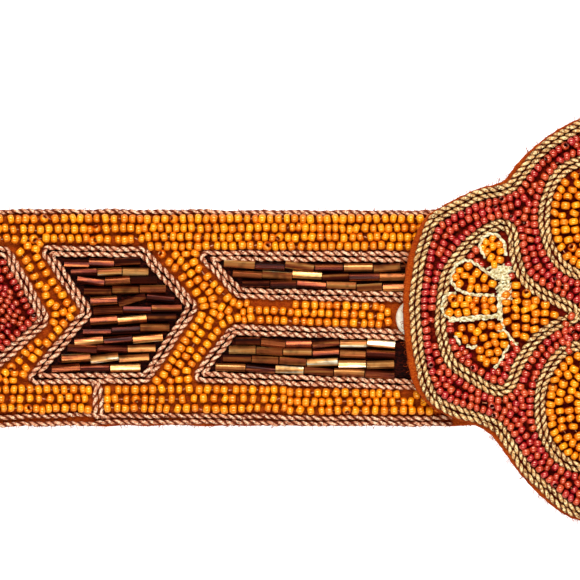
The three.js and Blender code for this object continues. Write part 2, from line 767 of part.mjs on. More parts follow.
function addPlaque() {
  const seat = plaqueFace + seatGap;
  const beadTop = plaqueFace + seedBeadHeight;
  const inner = -plaquePairReach - seatGap;
  addPiece("plaque_cloth", slab(plaqueClothLine, plaqueUnderside, plaqueFace), orangeFelt);
  addPiece("plaque_edge_cords", cord(outlineOf(plaqueCordLine), plaquePair, seat), goldCord);
  const motifs = {};
  for (const [sideName, side] of Object.entries({ left: -1, right: 1 })) {
    const medallion = closedLine(medallionEdge.map((row) => onPlaque(side, row)));
    motifs[`medallion_${sideName}`] = smoothed(medallion, medallionSamples);
    for (const [level, lobe] of Object.entries(lobes)) {
      motifs[`lobe_${level}_${sideName}`] = lobeOutline(side, lobe);
    }
  }
  for (const [name, line] of Object.entries(motifs)) {
    addPiece(`${name}_cords`, cord(outlineOf(line), plaquePair, seat), goldCord);
    addPiece(`${name}_beads`, slab(moved(line, inner), seat, beadTop), orangeGlass);
  }
  const tip = Math.min(...medallionEdge.map((row) => row.out)) * plaqueReach;
  const stemEnd = tip - plaquePairReach - stemGap;
  const stemY = stemLevel * plaqueRise;
  const stem = [new THREE.Vector2(-stemEnd, stemY), new THREE.Vector2(stemEnd, stemY)];
  addPiece("stem_cords", cord(openOutlineOf(stem), plaquePair, seat, true), goldCord);
  const stemReach = plaquePairReach + seatGap;
  const stemRoom = rectangle(-stemEnd - seatGap, stemEnd + seatGap, stemY - stemReach, stemY + stemReach);
  const holes = Object.values(motifs).map((line) => moved(line, plaquePairReach + seatGap));
  const redField = slab(moved(plaqueCordLine, inner), seat, beadTop, [...holes, stemRoom]);
  addPiece("plaque_red_beads", redField, redGlass);
}

// The snap: a stem that stands on the band between the bars, and a round cap under the plaque's left edge.
function addSnap() {
  const stem = snapStemDiameter / 2;
  const cap = snapDiameter / 2;
  const capTop = snapHeight - seatGap;
  const capBottom = capTop - snapCapThickness;
  const profile = [
    [0, seatGap],
    [stem, seatGap],
    [stem, capBottom - 0.2],
    [cap - 0.4, capBottom],
    [cap, capBottom + 0.4],
    [cap, capTop - 0.5],
    [cap - 0.6, capTop],
    [0, capTop],
  ].map(([radius, height]) => new THREE.Vector2(radius, height));
  const snap = new THREE.LatheGeometry(profile, snapSides);
  snap.rotateX(Math.PI / 2);
  snap.translate(-plaqueReach + snapInset, 0, frontLevel + clothFace);
  addPiece("fastening_snap", geometryOf(solidOf(snap)), whitePlastic);
}

addBand();
addMotifs();
addPlaque();
addSnap();

export default belt;
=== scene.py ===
import random
from math import acos, atan2, ceil, cos, hypot, pi, radians, sin, tan

import bmesh
import bpy
import numpy as np
from mathutils.kdtree import KDTree
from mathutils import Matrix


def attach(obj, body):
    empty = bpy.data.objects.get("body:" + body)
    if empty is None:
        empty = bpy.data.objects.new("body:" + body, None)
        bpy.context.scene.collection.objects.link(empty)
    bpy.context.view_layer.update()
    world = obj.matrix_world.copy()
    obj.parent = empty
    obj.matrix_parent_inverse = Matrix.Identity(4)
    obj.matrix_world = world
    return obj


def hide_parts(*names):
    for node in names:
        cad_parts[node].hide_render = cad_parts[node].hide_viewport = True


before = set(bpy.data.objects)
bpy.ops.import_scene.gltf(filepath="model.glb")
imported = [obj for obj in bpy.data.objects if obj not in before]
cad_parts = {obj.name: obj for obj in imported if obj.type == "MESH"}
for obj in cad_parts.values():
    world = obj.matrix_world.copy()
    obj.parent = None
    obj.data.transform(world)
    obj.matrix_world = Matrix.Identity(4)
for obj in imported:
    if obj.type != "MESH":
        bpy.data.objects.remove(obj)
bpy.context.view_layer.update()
mm = 0.001

# Sizes that the pieces share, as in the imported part
belt = {
    "waistLength": 711,
    "bandWidth": 52,
    "bandThickness": 2,
    "beadHeight": 2.1,
    "bandCordDiameter": 1.25,
    "bandCordSpacing": 1.45,
    "plaqueReach": 54.1,
    "plaqueRise": 47,
    "plaqueThickness": 2.2,
    "plaqueCordDiameter": 1.45,
    "plaqueCordSpacing": 1.55,
    "snapHeight": 4.4,
    "seatGap": 0.25,
    "coverGap": 0.6,
    "layerGap": 0.6,
    "endGap": 8,
    "tabEnd": 60,
    "rampRadius": 35,
    "foldRadius": 5.5,
    "riseRadius": 40,
    "riseAngle": radians(15),
}
motif = {
    "barNear": 47,
    "rightBarNear": 60.5,
    "barFar": 104.9,
    "barSlant": 8.8,
    "chevronTip": 107.4,
    "chevronLength": 37.6,
    "lozengeTip": 143.5,
    "lozengePoint": 14.9,
    "halfHeight": 15.5,
    "barNearRadius": 2,
    "groundOverrun": 1,
}

# Levels, from the table up
clothFace = belt["bandThickness"] / 2
backLevel = clothFace + belt["beadHeight"]
frontLevel = backLevel + belt["bandThickness"] + belt["layerGap"]
plaqueUnderside = frontLevel + clothFace + belt["snapHeight"]
plaqueFace = plaqueUnderside + belt["plaqueThickness"]
tabLevel = plaqueUnderside - belt["seatGap"] - clothFace
bandPairReach = (belt["bandCordSpacing"] + belt["bandCordDiameter"]) / 2
plaquePairReach = (belt["plaqueCordSpacing"] + belt["plaqueCordDiameter"]) / 2

# The route of the band's cloth, as legs of a length and a turn
riseAngle = belt["riseAngle"]
rampTurn = acos(1 - (tabLevel - frontLevel) / (2 * belt["rampRadius"]))
rampSpan = 2 * belt["rampRadius"] * sin(rampTurn)
rampLength = belt["rampRadius"] * rampTurn
foldTurn = pi + riseAngle
foldTop = backLevel + belt["foldRadius"] * (1 + cos(riseAngle))
riseLength = (foldTop - frontLevel - belt["riseRadius"] * (1 - cos(riseAngle))) / sin(riseAngle)
riseSpan = (belt["riseRadius"] + belt["foldRadius"]) * sin(riseAngle) + riseLength * cos(riseAngle)
riseAndFold = belt["riseRadius"] * riseAngle + riseLength + belt["foldRadius"] * foldTurn
foldMiddle = (belt["waistLength"] + rampSpan - 2 * rampLength + 2 * riseSpan - 2 * riseAndFold) / 4
riseStart = foldMiddle - riseSpan
riseArc = (belt["riseRadius"] * riseAngle, riseAngle)
foldArc = (belt["foldRadius"] * foldTurn, -foldTurn)
legs = [
    (belt["tabEnd"] - belt["endGap"], 0),
    (rampLength, -rampTurn),
    (rampLength, rampTurn),
    (riseStart - belt["tabEnd"] - rampSpan, 0),
    riseArc,
    (riseLength, 0),
    foldArc,
    (2 * foldMiddle, 0),
    foldArc,
    (riseLength, 0),
    riseArc,
    (riseStart - belt["endGap"], 0),
]
legPlaces = [(belt["endGap"], tabLevel, 0)]
for length, turn in legs:
    x, z, heading = legPlaces[-1]
    if turn:
        bend = turn / length
        x += (sin(heading + turn) - sin(heading)) / bend
        z += (cos(heading) - cos(heading + turn)) / bend
    else:
        x += length * cos(heading)
        z += length * sin(heading)
    legPlaces.append((x, z, heading + turn))
legX, legZ, legHeadings = (np.array(column, float) for column in zip(*legPlaces))
legLengths, legTurns = (np.array(column, float) for column in zip(*legs))
legStarts = np.concatenate([[0], np.cumsum(legLengths)])
routeLength = legStarts[-1]
rightFoldMiddle = legStarts[6] + belt["foldRadius"] * (riseAngle + pi / 2)
leftFoldMiddle = legStarts[8] + belt["foldRadius"] * pi / 2

# The layout of beads and cords is measured where the beads' middles run, which is longer round a fold than
# the cloth's own length. u is that length, and s the length along the cloth.
beadStarts = np.concatenate([[0], np.cumsum(legLengths - (clothFace + belt["beadHeight"] / 2) * legTurns)])


def atBeads(s):
    return float(np.interp(s, legStarts, beadStarts))


def clothAt(s):
    leg = np.clip(np.searchsorted(legStarts, s, side="right") - 1, 0, len(legs) - 1)
    going = s - legStarts[leg]
    bend = (legTurns / legLengths)[leg]
    first = legHeadings[leg]
    turned = first + bend * going
    flat = bend == 0
    radius = 1 / np.where(flat, 1, bend)
    x = legX[leg] + np.where(flat, going * np.cos(turned), (np.sin(turned) - np.sin(first)) * radius)
    z = legZ[leg] + np.where(flat, going * np.sin(turned), (np.cos(first) - np.cos(turned)) * radius)
    return x, z, turned


# Places copies of a shape, each given as the offsets of its points from its middle. A middle is u, y and the
# height over the cloth's face. A copy keeps its shape and turns with the cloth.
def placeOnBand(middles, offsets):
    x, z, turned = clothAt(np.interp(middles[:, 0], beadStarts, legStarts))
    forward, rise = np.cos(turned)[:, None], np.sin(turned)[:, None]
    up = clothFace + middles[:, 2, None] + offsets[..., 2]
    along = offsets[..., 0]
    points = [
        x[:, None] + along * forward - up * rise,
        middles[:, 1, None] + offsets[..., 1],
        z[:, None] + along * rise + up * forward,
    ]
    return np.stack(points, axis=-1)


def placeOnPlaque(middles, offsets):
    return middles[:, None] + offsets + np.array([0, 0, plaqueFace])


def placePoints(place, points):
    return place(points, np.zeros((len(points), 1, 3)))[:, 0]


# Distances from the plaque's middle, as lengths along the cloth. The back mirrors the front about each fold.
rampExtra = 2 * rampLength - rampSpan


def onLeft(distance):
    return routeLength + belt["endGap"] - distance


def onRight(distance):
    return distance - belt["endGap"] + rampExtra


def onBackLeft(distance):
    return 2 * leftFoldMiddle - onLeft(distance)


def onBackRight(distance):
    return 2 * rightFoldMiddle - onRight(distance)


def onTab(distance):
    return distance - belt["endGap"]


# Lines are arrays of points. Closed ones run anticlockwise.
def signedArea(line):
    x, y = line[:, 0], line[:, 1]
    return (x * np.roll(y, -1) - y * np.roll(x, -1)).sum() / 2


def spaced(line, step, closed=True):
    points = np.vstack([line, line[:1]]) if closed else np.asarray(line, float)
    lengths = np.concatenate([[0], np.cumsum(np.hypot(*np.diff(points, axis=0).T))])
    count = max(3, round(lengths[-1] / step))
    at = np.linspace(0, lengths[-1], count, endpoint=not closed)
    return np.stack([np.interp(at, lengths, points[:, 0]), np.interp(at, lengths, points[:, 1])], axis=1)


def headingsOf(line, closed=True):
    ahead = np.roll(line, -1, axis=0) - np.roll(line, 1, axis=0)
    if not closed:
        ahead[0], ahead[-1] = line[1] - line[0], line[-1] - line[-2]
    return np.arctan2(ahead[:, 1], ahead[:, 0])


def outwardsOf(heading):
    return np.stack([np.sin(heading), -np.cos(heading)], axis=1)


def moved(line, distance, closed=True):
    return line + distance * outwardsOf(headingsOf(line, closed))


def smoothed(points, perSpan=8):
    line = []
    for i in range(len(points)):
        before, start, end, after = (points[(i + k) % len(points)] for k in (-1, 0, 1, 2))
        a, b, c = (np.sqrt(np.linalg.norm(q - p)) for p, q in ((before, start), (start, end), (end, after)))
        leaving = ((start - before) / a - (end - before) / (a + b) + (end - start) / b) * b
        arriving = ((end - start) / b - (after - start) / (b + c) + (after - end) / c) * b
        for t in np.arange(perSpan) / perSpan:
            ends = (2 * t**3 - 3 * t**2 + 1) * start + (3 * t**2 - 2 * t**3) * end
            line.append(ends + (t**3 - 2 * t**2 + t) * leaving + (t**3 - t**2) * arriving)
    return np.array(line)


# A closed line with rounded corners, from corners given as x, y and a radius, at some distance outside them.
def roundedLine(corners, distance=0, sharpest=0.15):
    points = np.array([corner[:2] for corner in corners], float)
    radii = [corner[2] for corner in corners]
    if signedArea(points) < 0:
        points, radii = points[::-1], radii[::-1]
    line = []
    for i, here in enumerate(points):
        back = points[i - 1] - here
        ahead = points[(i + 1) % len(points)] - here
        back, ahead = back / np.linalg.norm(back), ahead / np.linalg.norm(ahead)
        sides = np.array([-back[1], back[0]]), np.array([ahead[1], -ahead[0]])
        corner = here + distance * (sides[0] + sides[1]) / (1 + sides[0] @ sides[1])
        turn = pi - acos(max(-1, min(1, back @ ahead)))
        side = 1 if ahead[0] * back[1] - ahead[1] * back[0] > 0 else -1
        bend = max(sharpest, radii[i] + side * distance)
        inwards = (back + ahead) / np.linalg.norm(back + ahead) * bend / cos(turn / 2)
        start = back * bend * tan(turn / 2) - inwards
        steps = max(2, round(turn / radians(18)))
        for k in range(steps + 1):
            c, s = cos(side * turn * k / steps), sin(side * turn * k / steps)
            arm = np.array([start[0] * c - start[1] * s, start[0] * s + start[1] * c])
            line.append(arm + inwards + corner)
    return np.array(line)


# Outlines of the motifs on the band, at the middle of their cords: along is a share of the motif's own
# length, across of its half height, and the last value the corner's radius.
chevronCorners = [
    (0, 0.19, 0.8),
    (0.32, 1.03, 2),
    (0.96, 1.05, 0.4),
    (0.675, 0.1, 2),
    (1.05, -0.94, 0.4),
    (0.3, -0.93, 2),
]
lozengeCorners = [(1.12, -0.97, 2), (0, -0.02, 2), (0.64, 1.03, 2)]
barFarCorners = {
    "upper": [(0, 0.975, 0.4), (1, 0.39, 2)],
    "lower": [(0.82, -0.18, 2), (-0.16, -0.91, 0.4)],
}
barNearLevels = {"upper": (0.316, 0.955), "lower": (-1.05, -0.27)}


def motifCorners(place, start, size, corners):
    half = motif["halfHeight"]
    return [
        (atBeads(place(start + along * size)), across * half, radius) for along, across, radius in corners
    ]


def chevron(place):
    return motifCorners(place, motif["chevronTip"], motif["chevronLength"], chevronCorners)


def lozenge(place, backPlace):
    front = motifCorners(place, motif["lozengeTip"], motif["lozengePoint"], lozengeCorners)
    back = motifCorners(backPlace, motif["lozengeTip"], motif["lozengePoint"], lozengeCorners)
    return front + back[::-1]


def barFarEnd(level, place):
    return motifCorners(place, motif["barFar"], -motif["barSlant"], barFarCorners[level])


def frontBar(level, place, near):
    u = atBeads(place(near))
    ends = [(u, across * motif["halfHeight"], motif["barNearRadius"]) for across in barNearLevels[level]]
    return barFarEnd(level, place) + ends


def backBar(level):
    return barFarEnd(level, onBackLeft) + barFarEnd(level, onBackRight)[::-1]


bugleMotifs = {
    "chevron_front_left": chevron(onLeft),
    "chevron_front_right": chevron(onRight),
    "chevron_back_left": chevron(onBackLeft),
    "chevron_back_right": chevron(onBackRight),
    "bar_front_left_upper": frontBar("upper", onLeft, motif["barNear"]),
    "bar_front_left_lower": frontBar("lower", onLeft, motif["barNear"]),
    "bar_front_right_upper": frontBar("upper", onRight, motif["rightBarNear"]),
    "bar_front_right_lower": frontBar("lower", onRight, motif["rightBarNear"]),
    "bar_back_upper": backBar("upper"),
    "bar_back_lower": backBar("lower"),
}
redMotifs = {
    "lozenge_left": lozenge(onLeft, onBackLeft),
    "lozenge_right": lozenge(onRight, onBackRight),
}
bandMotifs = {**bugleMotifs, **redMotifs}
fieldStart = atBeads(onTab(belt["plaqueReach"] / 2))
fieldEnd = atBeads(onLeft(motif["barNear"] - motif["groundOverrun"] - bandPairReach))
leftMiddle, rightMiddle = atBeads(leftFoldMiddle), atBeads(rightFoldMiddle)

# The left half of the plaque's edge cords from top to bottom, as shares of its reach and rise, and the
# width of bare felt outside them
plaqueEdge = [
    (0, 0.854, 0.3),
    (0.08, 0.943, 0.3),
    (0.2, 1.001, 0.3),
    (0.32, 0.951, 0.3),
    (0.462, 0.832, 0.4),
    (0.53, 0.732, 0.9),
    (0.572, 0.675, 0.7),
    (0.63, 0.65, 0.3),
    (0.702, 0.632, 0.2),
    (0.863, 0.543, 0.2),
    (0.92, 0.495, 0.4),
    (0.965, 0.356, 1.3),
    (0.991, 0.196, 1.4),
    (1, 0.037, 1.3),
    (0.987, -0.125, 1.4),
    (0.956, -0.317, 1.3),
    (0.905, -0.42, 0.4),
    (0.834, -0.466, 0.2),
    (0.7, -0.515, 0.5),
    (0.628, -0.559, 1),
    (0.585, -0.63, 0.7),
    (0.51, -0.761, 0.4),
    (0.39, -0.9, 0.6),
    (0.288, -0.985, 0.3),
    (0.19, -0.9995, 0.3),
    (0.08, -0.949, 0.3),
    (0, -0.872, 0.3),
]
medallionEdge = [
    (0.3, 0.045),
    (0.36, 0.083),
    (0.42, 0.12),
    (0.488, 0.17),
    (0.53, 0.226),
    (0.556, 0.33),
    (0.575, 0.45),
    (0.617, 0.48),
    (0.7, 0.438),
    (0.785, 0.352),
    (0.852, 0.241),
    (0.881, 0.083),
    (0.883, -0.07),
    (0.843, -0.213),
    (0.75, -0.3),
    (0.635, -0.366),
    (0.582, -0.345),
    (0.535, -0.22),
    (0.457, -0.1),
    (0.36, -0.022),
    (0.3, -0.003),
]
lobes = {"upper": (0.244, 0.512, 0.184, 0.291), "lower": (0.255, -0.448, 0.193, 0.311)}
stem = {"level": 0.021, "gap": 1.5}


def onPlaque(side, out, up):
    return side * out * belt["plaqueReach"], up * belt["plaqueRise"]


def anticlockwise(points):
    line = np.array(points, float)
    return line if signedArea(line) > 0 else line[::-1]


wholeEdge = [(-1, *row) for row in plaqueEdge] + [(1, *row) for row in plaqueEdge[-2:0:-1]]
edgePoints = np.array([onPlaque(side, out, up) for side, out, up, _ in wholeEdge])
edgeHeadings = headingsOf(edgePoints)
plaqueCordLine = smoothed(edgePoints)
feltReach = np.array([plaquePairReach + row[3] for row in wholeEdge])[:, None]
plaqueClothLine = smoothed(
    edgePoints + feltReach * outwardsOf(edgeHeadings)
)
medallionLines, lobeLines = {}, {}
for sideName, side in (("left", -1), ("right", 1)):
    medallionLines[sideName] = smoothed(anticlockwise([onPlaque(side, *row) for row in medallionEdge]))
    for level, (out, up, halfLength, halfHeight) in lobes.items():
        angles = np.arange(64) / 64 * 2 * pi
        lobe = [onPlaque(side, out + halfLength * cos(a), up + halfHeight * sin(a)) for a in angles]
        lobeLines[f"{level}_{sideName}"] = anticlockwise(lobe)
print("outlines ready")


# Bead layout. A region is a list of edges, each with a tree of points along it and which side is inside.
def regionEdge(line, inside):
    points = spaced(np.asarray(line), 0.3)
    heading = headingsOf(points)
    facing = 1 if inside else -1
    outwards = facing * outwardsOf(heading)
    tree = KDTree(len(points))
    for i, (x, y) in enumerate(points):
        tree.insert((x, y, 0), i)
    tree.balance()
    return {"tree": tree, "outwards": outwards.tolist(), "inside": inside,
            "low": points.min(axis=0).tolist(), "high": points.max(axis=0).tolist()}


def depthIn(region, x, y, enough=1.3):
    depth = enough
    for edge in region:
        low, high = edge["low"], edge["high"]
        beyond = max(low[0] - x, x - high[0], low[1] - y, y - high[1])
        if not edge["inside"] and beyond > enough:
            continue
        place, index, gap = edge["tree"].find((x, y, 0))
        outX, outY = edge["outwards"][index]
        outside = (x - place[0]) * outX + (y - place[1]) * outY > 0
        depth = min(depth, -gap if outside else gap)
    return depth


# How far a bead reaches from its middle in some direction, seen from above as a rounded rectangle.
def reachOf(bead, heading):
    across = abs(cos(heading - bead["angle"])) / bead["length"]
    beside = abs(sin(heading - bead["angle"])) / bead["width"]
    return 0.5 * (across**3 + beside**3) ** (-1 / 3)


# A field of beads. Rows are laid first, then beads fill what room is left.
class BeadField:
    cell = 2.5
    reach = 2.4
    rowStep = 0.2
    rowShifts = (0, 0.15, -0.15, 0.3, -0.3)
    widestGap = 1.3
    threadReach = 4.5

    def __init__(self, region, looks, seed):
        self.region = region
        self.looks = looks
        self.dice = random.Random(seed)
        self.cells = {}
        self.beads = []
        self.threads = []

    def newBead(self, x, y, angle, small=False):
        dice, looks = self.dice, self.looks
        bead = {
            "x": x,
            "y": y,
            "angle": angle + dice.gauss(0, looks["sway"]),
            "length": dice.uniform(*looks["length"]) * (looks["small"][0] if small else 1),
            "width": dice.uniform(*looks["width"]) * (looks["small"][1] if small else 1),
            "tilt": dice.gauss(0, looks["tilt"]),
            "tone": dice.random(),
            "lift": dice.uniform(0, looks["lift"]),
        }
        if dice.random() < looks["turned"]:
            bead["angle"] += dice.choice((-1, 1)) * dice.uniform(*looks["turnedBy"])
            bead["tilt"] = dice.choice((-1, 1)) * dice.uniform(*looks["turnedTilt"])
        return bead

    def near(self, x, y):
        column, row = int(x // self.cell), int(y // self.cell)
        for i in (column - 1, column, column + 1):
            for j in (row - 1, row, row + 1):
                yield from self.cells.get((i, j), ())

    def hasRoom(self, bead):
        x, y = bead["x"], bead["y"]
        for other in self.near(x, y):
            dx, dy = other["x"] - x, other["y"] - y
            gap = hypot(dx, dy)
            if gap < self.reach:
                heading = atan2(dy, dx)
                if gap < self.looks["squeeze"] * (reachOf(bead, heading) + reachOf(other, heading)):
                    return False
        return self.fits(x, y)

    def fits(self, x, y):
        return depthIn(self.region, x, y) >= self.looks["clearance"]

    def keep(self, bead):
        self.beads.append(bead)
        self.cells.setdefault((int(bead["x"] // self.cell), int(bead["y"] // self.cell)), []).append(bead)

    def addRow(self, line, closed=True, gap=None):
        step, meanGap = self.rowStep, gap or self.looks["gap"]
        points = spaced(np.asarray(line, float), step, closed)
        headings = headingsOf(points, closed)
        i, last = 0, None
        while i < len(points):
            heading = headings[i]
            off = self.dice.gauss(0, self.looks["rowSway"])
            x, y = points[i] + off * np.array([sin(heading), -cos(heading)])
            if depthIn(self.region, x, y) < self.looks["clearance"] - 0.3:
                i, last = i + 2, None
                continue
            kept = None
            for shift in self.rowShifts:
                bead = self.newBead(x + sin(heading) * shift, y - cos(heading) * shift, heading)
                if self.hasRoom(bead):
                    kept = bead
                    break
            if kept is None:
                i += 1
                continue
            self.keep(kept)
            if last is not None and hypot(kept["x"] - last["x"], kept["y"] - last["y"]) < self.threadReach:
                self.threads.append((last, kept))
            last = kept
            free = min(self.dice.expovariate(1 / meanGap), self.widestGap)
            i += max(1, ceil((kept["length"] + free) / step))

    def fillRest(self, low, high, step=0.4):
        count = [ceil((high[k] - low[k]) / step) for k in (0, 1)]
        for i in range(count[0]):
            for j in range(count[1]):
                x = low[0] + (i + self.dice.random()) * step
                y = low[1] + (j + self.dice.random()) * step
                angle, nearest = 0, 9
                for other in self.near(x, y):
                    gap = hypot(other["x"] - x, other["y"] - y)
                    if gap < nearest:
                        angle, nearest = other["angle"], gap
                if nearest > self.looks["fillFrom"] and self.fits(x, y):
                    bead = self.newBead(x, y, angle, small=True)
                    if self.hasRoom(bead):
                        self.keep(bead)


# Meshes
def meshFrom(bm, name):
    mesh = bpy.data.meshes.new(name)
    bm.to_mesh(mesh)
    bm.free()
    return mesh


def newPiece(name, mesh, material, nodes=(), smooth=True):
    piece = bpy.data.objects.new(name, mesh)
    bpy.context.scene.collection.objects.link(piece)
    mesh.materials.clear()
    mesh.materials.append(material)
    mesh.polygons.foreach_set("use_smooth", [smooth] * len(mesh.polygons))
    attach(piece, "root")
    if nodes:
        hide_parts(*nodes)
    triangles = sum(len(face.vertices) - 2 for face in mesh.polygons)
    print(name, triangles, "triangles")
    return piece


def storeVectors(mesh, name, values):
    attribute = mesh.attributes.new(name, "FLOAT_VECTOR", "POINT")
    attribute.data.foreach_set("vector", np.asarray(values, np.float32).ravel())


# A shape to copy: its points, its faces, and how deep inside its bore each point lies, from 0 to 1.
def shapeOf(bm, bore):
    bm.verts.ensure_lookup_table()
    points = np.array([vert.co[:] for vert in bm.verts])
    faces = [[vert.index for vert in face.verts] for face in bm.faces]
    bm.free()
    return {"points": points, "faces": faces, "bore": np.array([bore(*point) for point in points])}


def seedBead(profile, steps):
    bm = bmesh.new()
    ring = [bm.verts.new((x, 0, radius)) for x, radius in profile]
    sides = [bm.edges.new((ring[i - 1], ring[i])) for i in range(len(ring))]
    bmesh.ops.spin(bm, geom=ring + sides, cent=(0, 0, 0), axis=(1, 0, 0), angle=2 * pi, steps=steps,
                   use_merge=True, use_duplicate=False)
    bmesh.ops.remove_doubles(bm, verts=bm.verts, dist=1e-5)
    bmesh.ops.recalc_face_normals(bm, faces=bm.faces)
    bm.verts.index_update()
    return shapeOf(bm, lambda x, y, z: 1 if hypot(y, z) < 0.25 else 0.5 if abs(x) > 0.46 else 0)


beadShape = {
    "near": [(-0.34, 0.17), (-0.5, 0.28), (-0.38, 0.43), (0, 0.51), (0.38, 0.43), (0.5, 0.28), (0.34, 0.17)],
    "far": [(-0.42, 0.19), (-0.47, 0.38), (0, 0.53), (0.47, 0.38), (0.42, 0.19)],
    "nearSteps": 8,
    "farSteps": 7,
}
nearBead = seedBead(beadShape["near"], beadShape["nearSteps"])
farBead = seedBead(beadShape["far"], beadShape["farSteps"])


def turnedOffsets(shape, size, angle, tilt, roll):
    offsets = shape["points"][None] * size[:, None]
    cr, sr = np.cos(roll)[:, None], np.sin(roll)[:, None]
    ct, st = np.cos(tilt)[:, None], np.sin(tilt)[:, None]
    ca, sa = np.cos(angle)[:, None], np.sin(angle)[:, None]
    x, y, z = (offsets[..., axis] for axis in range(3))
    y, z = y * cr - z * sr, y * sr + z * cr
    x, z = x * ct - z * st, x * st + z * ct
    x, y = x * ca - y * sa, x * sa + y * ca
    return np.stack([x, y, z], axis=-1)


# One mesh of many copies. Each point keeps its height over the seat as a share of a bead's, its copy's tone
# and its place in the bore.
def copiesMesh(name, shape, middles, offsets, place, tones):
    count = len(shape["points"])
    points = place(middles, offsets).reshape(-1, 3) * mm
    faces = [[vert + k * count for vert in face] for k in range(len(middles)) for face in shape["faces"]]
    mesh = bpy.data.meshes.new(name)
    mesh.from_pydata(points.tolist(), [], faces)
    heights = (middles[:, 2, None] + offsets[..., 2]) / belt["beadHeight"]
    values = [heights.ravel(), np.repeat(tones, count), np.tile(shape["bore"], len(middles))]
    storeVectors(mesh, "bead", np.stack(values, axis=1))
    return mesh


def beadPiece(name, beads, shape, place, material, nodes=()):
    column = {key: np.array([bead[key] for bead in beads]) for key in beads[0]}
    size = np.stack([column["length"], column["width"], column["width"]], axis=1)
    roll = column["tone"] * 40
    offsets = turnedOffsets(shape, size, column["angle"], column["tilt"], roll)
    lowest = offsets[..., 2].min(axis=1)
    middles = np.stack([column["x"], column["y"], column["lift"] - lowest], axis=1)
    mesh = copiesMesh(name, shape, middles, offsets, place, column["tone"])
    return newPiece(name, mesh, material, nodes)


# Round tubes along lists of points, as one mesh made from one curve. Each tube is a dictionary with its
# points, its radius and whether it is closed.
def tubesMesh(name, tubes, sides=6):
    curve = bpy.data.curves.new(name, "CURVE")
    curve.dimensions = "3D"
    curve.bevel_depth = mm
    curve.bevel_resolution = sides // 2 - 2
    curve.use_fill_caps = True
    for tube in tubes:
        spline = curve.splines.new("POLY")
        spline.points.add(len(tube["points"]) - 1)
        places = np.concatenate([tube["points"] * mm, np.ones((len(tube["points"]), 1))], axis=1)
        spline.points.foreach_set("co", places.ravel())
        spline.points.foreach_set("radius", np.broadcast_to(tube["radius"], len(places)).astype(float))
        spline.use_cyclic_u = tube["closed"]
    holder = bpy.data.objects.new(name, curve)
    bpy.context.scene.collection.objects.link(holder)
    mesh = bpy.data.meshes.new_from_object(holder.evaluated_get(bpy.context.evaluated_depsgraph_get()))
    bpy.data.objects.remove(holder)
    mesh.name = name
    while mesh.uv_layers:
        mesh.uv_layers.remove(mesh.uv_layers[0])
    return mesh


def weld(mesh, distance=1e-7):
    bm = bmesh.new()
    bm.from_mesh(mesh)
    bmesh.ops.remove_doubles(bm, verts=bm.verts, dist=distance)
    bm.to_mesh(mesh)
    bm.free()


# The two plies of one twisted cord that follows a flat line.
def twistedCord(line, closed, cord, place, dice):
    line = spaced(np.asarray(line, float), cord["pitch"] / cord["steps"], closed)
    count = len(line)
    lengths = np.hypot(*np.diff(line, axis=0).T).sum()
    turns = max(1, round(lengths / cord["pitch"]))
    heading = headingsOf(line, closed)
    normal = np.stack([-np.sin(heading), np.cos(heading)], axis=1)
    share = np.arange(count) / count
    first, slow = dice.uniform(0, 2 * pi), dice.uniform(0, 2 * pi)
    wobble = cord["wobble"] * np.sin(2 * pi * share * max(1, round(lengths / 11)) + slow)
    middles = np.concatenate([line + wobble[:, None] * normal, np.full((count, 1), cord["lift"])], axis=1)
    axis = placePoints(place, middles)
    top = place(middles, np.tile((0.0, 0.0, 1.0), (count, 1, 1)))[:, 0]
    unevenness = np.sin(2 * pi * share * max(1, round(lengths / 4.7)) + slow)
    plies = []
    for start in (0, pi):
        phase = 2 * pi * turns * share + start + first + 0.25 * unevenness
        side, up = -cord["coil"] * np.sin(phase), cord["coil"] * np.cos(phase)
        offsets = np.concatenate([side[:, None] * normal, up[:, None]], axis=1)
        plies.append({
            "points": place(middles, offsets[:, None])[:, 0],
            "axis": axis,
            "top": top,
            "radius": cord["ply"] * (1 + 0.16 * np.cos(phase) + 0.06 * np.sin(phase * 0.37 + start)),
            "closed": closed,
            "along": share * lengths,
        })
    return plies


def cordPiece(name, plies, cord, material, nodes=()):
    sides = cord["sides"]
    mesh = tubesMesh(name, plies, sides)
    places = np.empty(len(mesh.vertices) * 3, np.float32)
    mesh.vertices.foreach_get("co", places)
    places = places.reshape(-1, 3) / mm
    axis = np.repeat(np.concatenate([ply["axis"] for ply in plies]), sides, axis=0)
    top = np.repeat(np.concatenate([ply["top"] for ply in plies]), sides, axis=0)
    along = np.repeat(np.concatenate([ply["along"] + 37 * k for k, ply in enumerate(plies)]), sides)
    caps = len(places) - len(axis)
    # Each point's reach out from the cord's axis, cut down on the cord's lower sides; the yarn material
    # paints shade from it between the plies and low on the cord
    reach = np.linalg.norm(places[caps:] - axis, axis=1) / (cord["coil"] + cord["ply"])
    rise = ((places[caps:] - axis) * (top - axis)).sum(axis=1) / (cord["coil"] + cord["ply"])
    reach = reach * (0.62 + 0.38 * np.clip(rise * 1.25, 0, 1))
    around = np.tile(np.arange(sides) / sides * 2 * pi, len(axis) // sides) + along * cord["fibreTwist"]
    strand = np.zeros((len(places), 3))
    strand[caps:] = np.stack([along, np.cos(around), np.sin(around)], axis=1)
    # Mask for the yarn's painted shade; the end caps get a middling value
    creviceShade = np.zeros((len(places), 3))
    creviceShade[:, 0] = 0.6
    creviceShade[caps:, 0] = reach
    storeVectors(mesh, "strand", strand)
    storeVectors(mesh, "creviceShade", creviceShade)
    weld(mesh)
    return newPiece(name, mesh, material, nodes)


# Node helpers
def feed(tree, socket, value):
    if isinstance(value, bpy.types.NodeSocket):
        tree.links.new(value, socket)
    else:
        socket.default_value = value


def addNode(tree, kind, inputs=(), **settings):
    node = tree.nodes.new(kind)
    for key, value in settings.items():
        setattr(node, key, value)
    for key, value in dict(inputs).items():
        feed(tree, node.inputs[key], value)
    return node


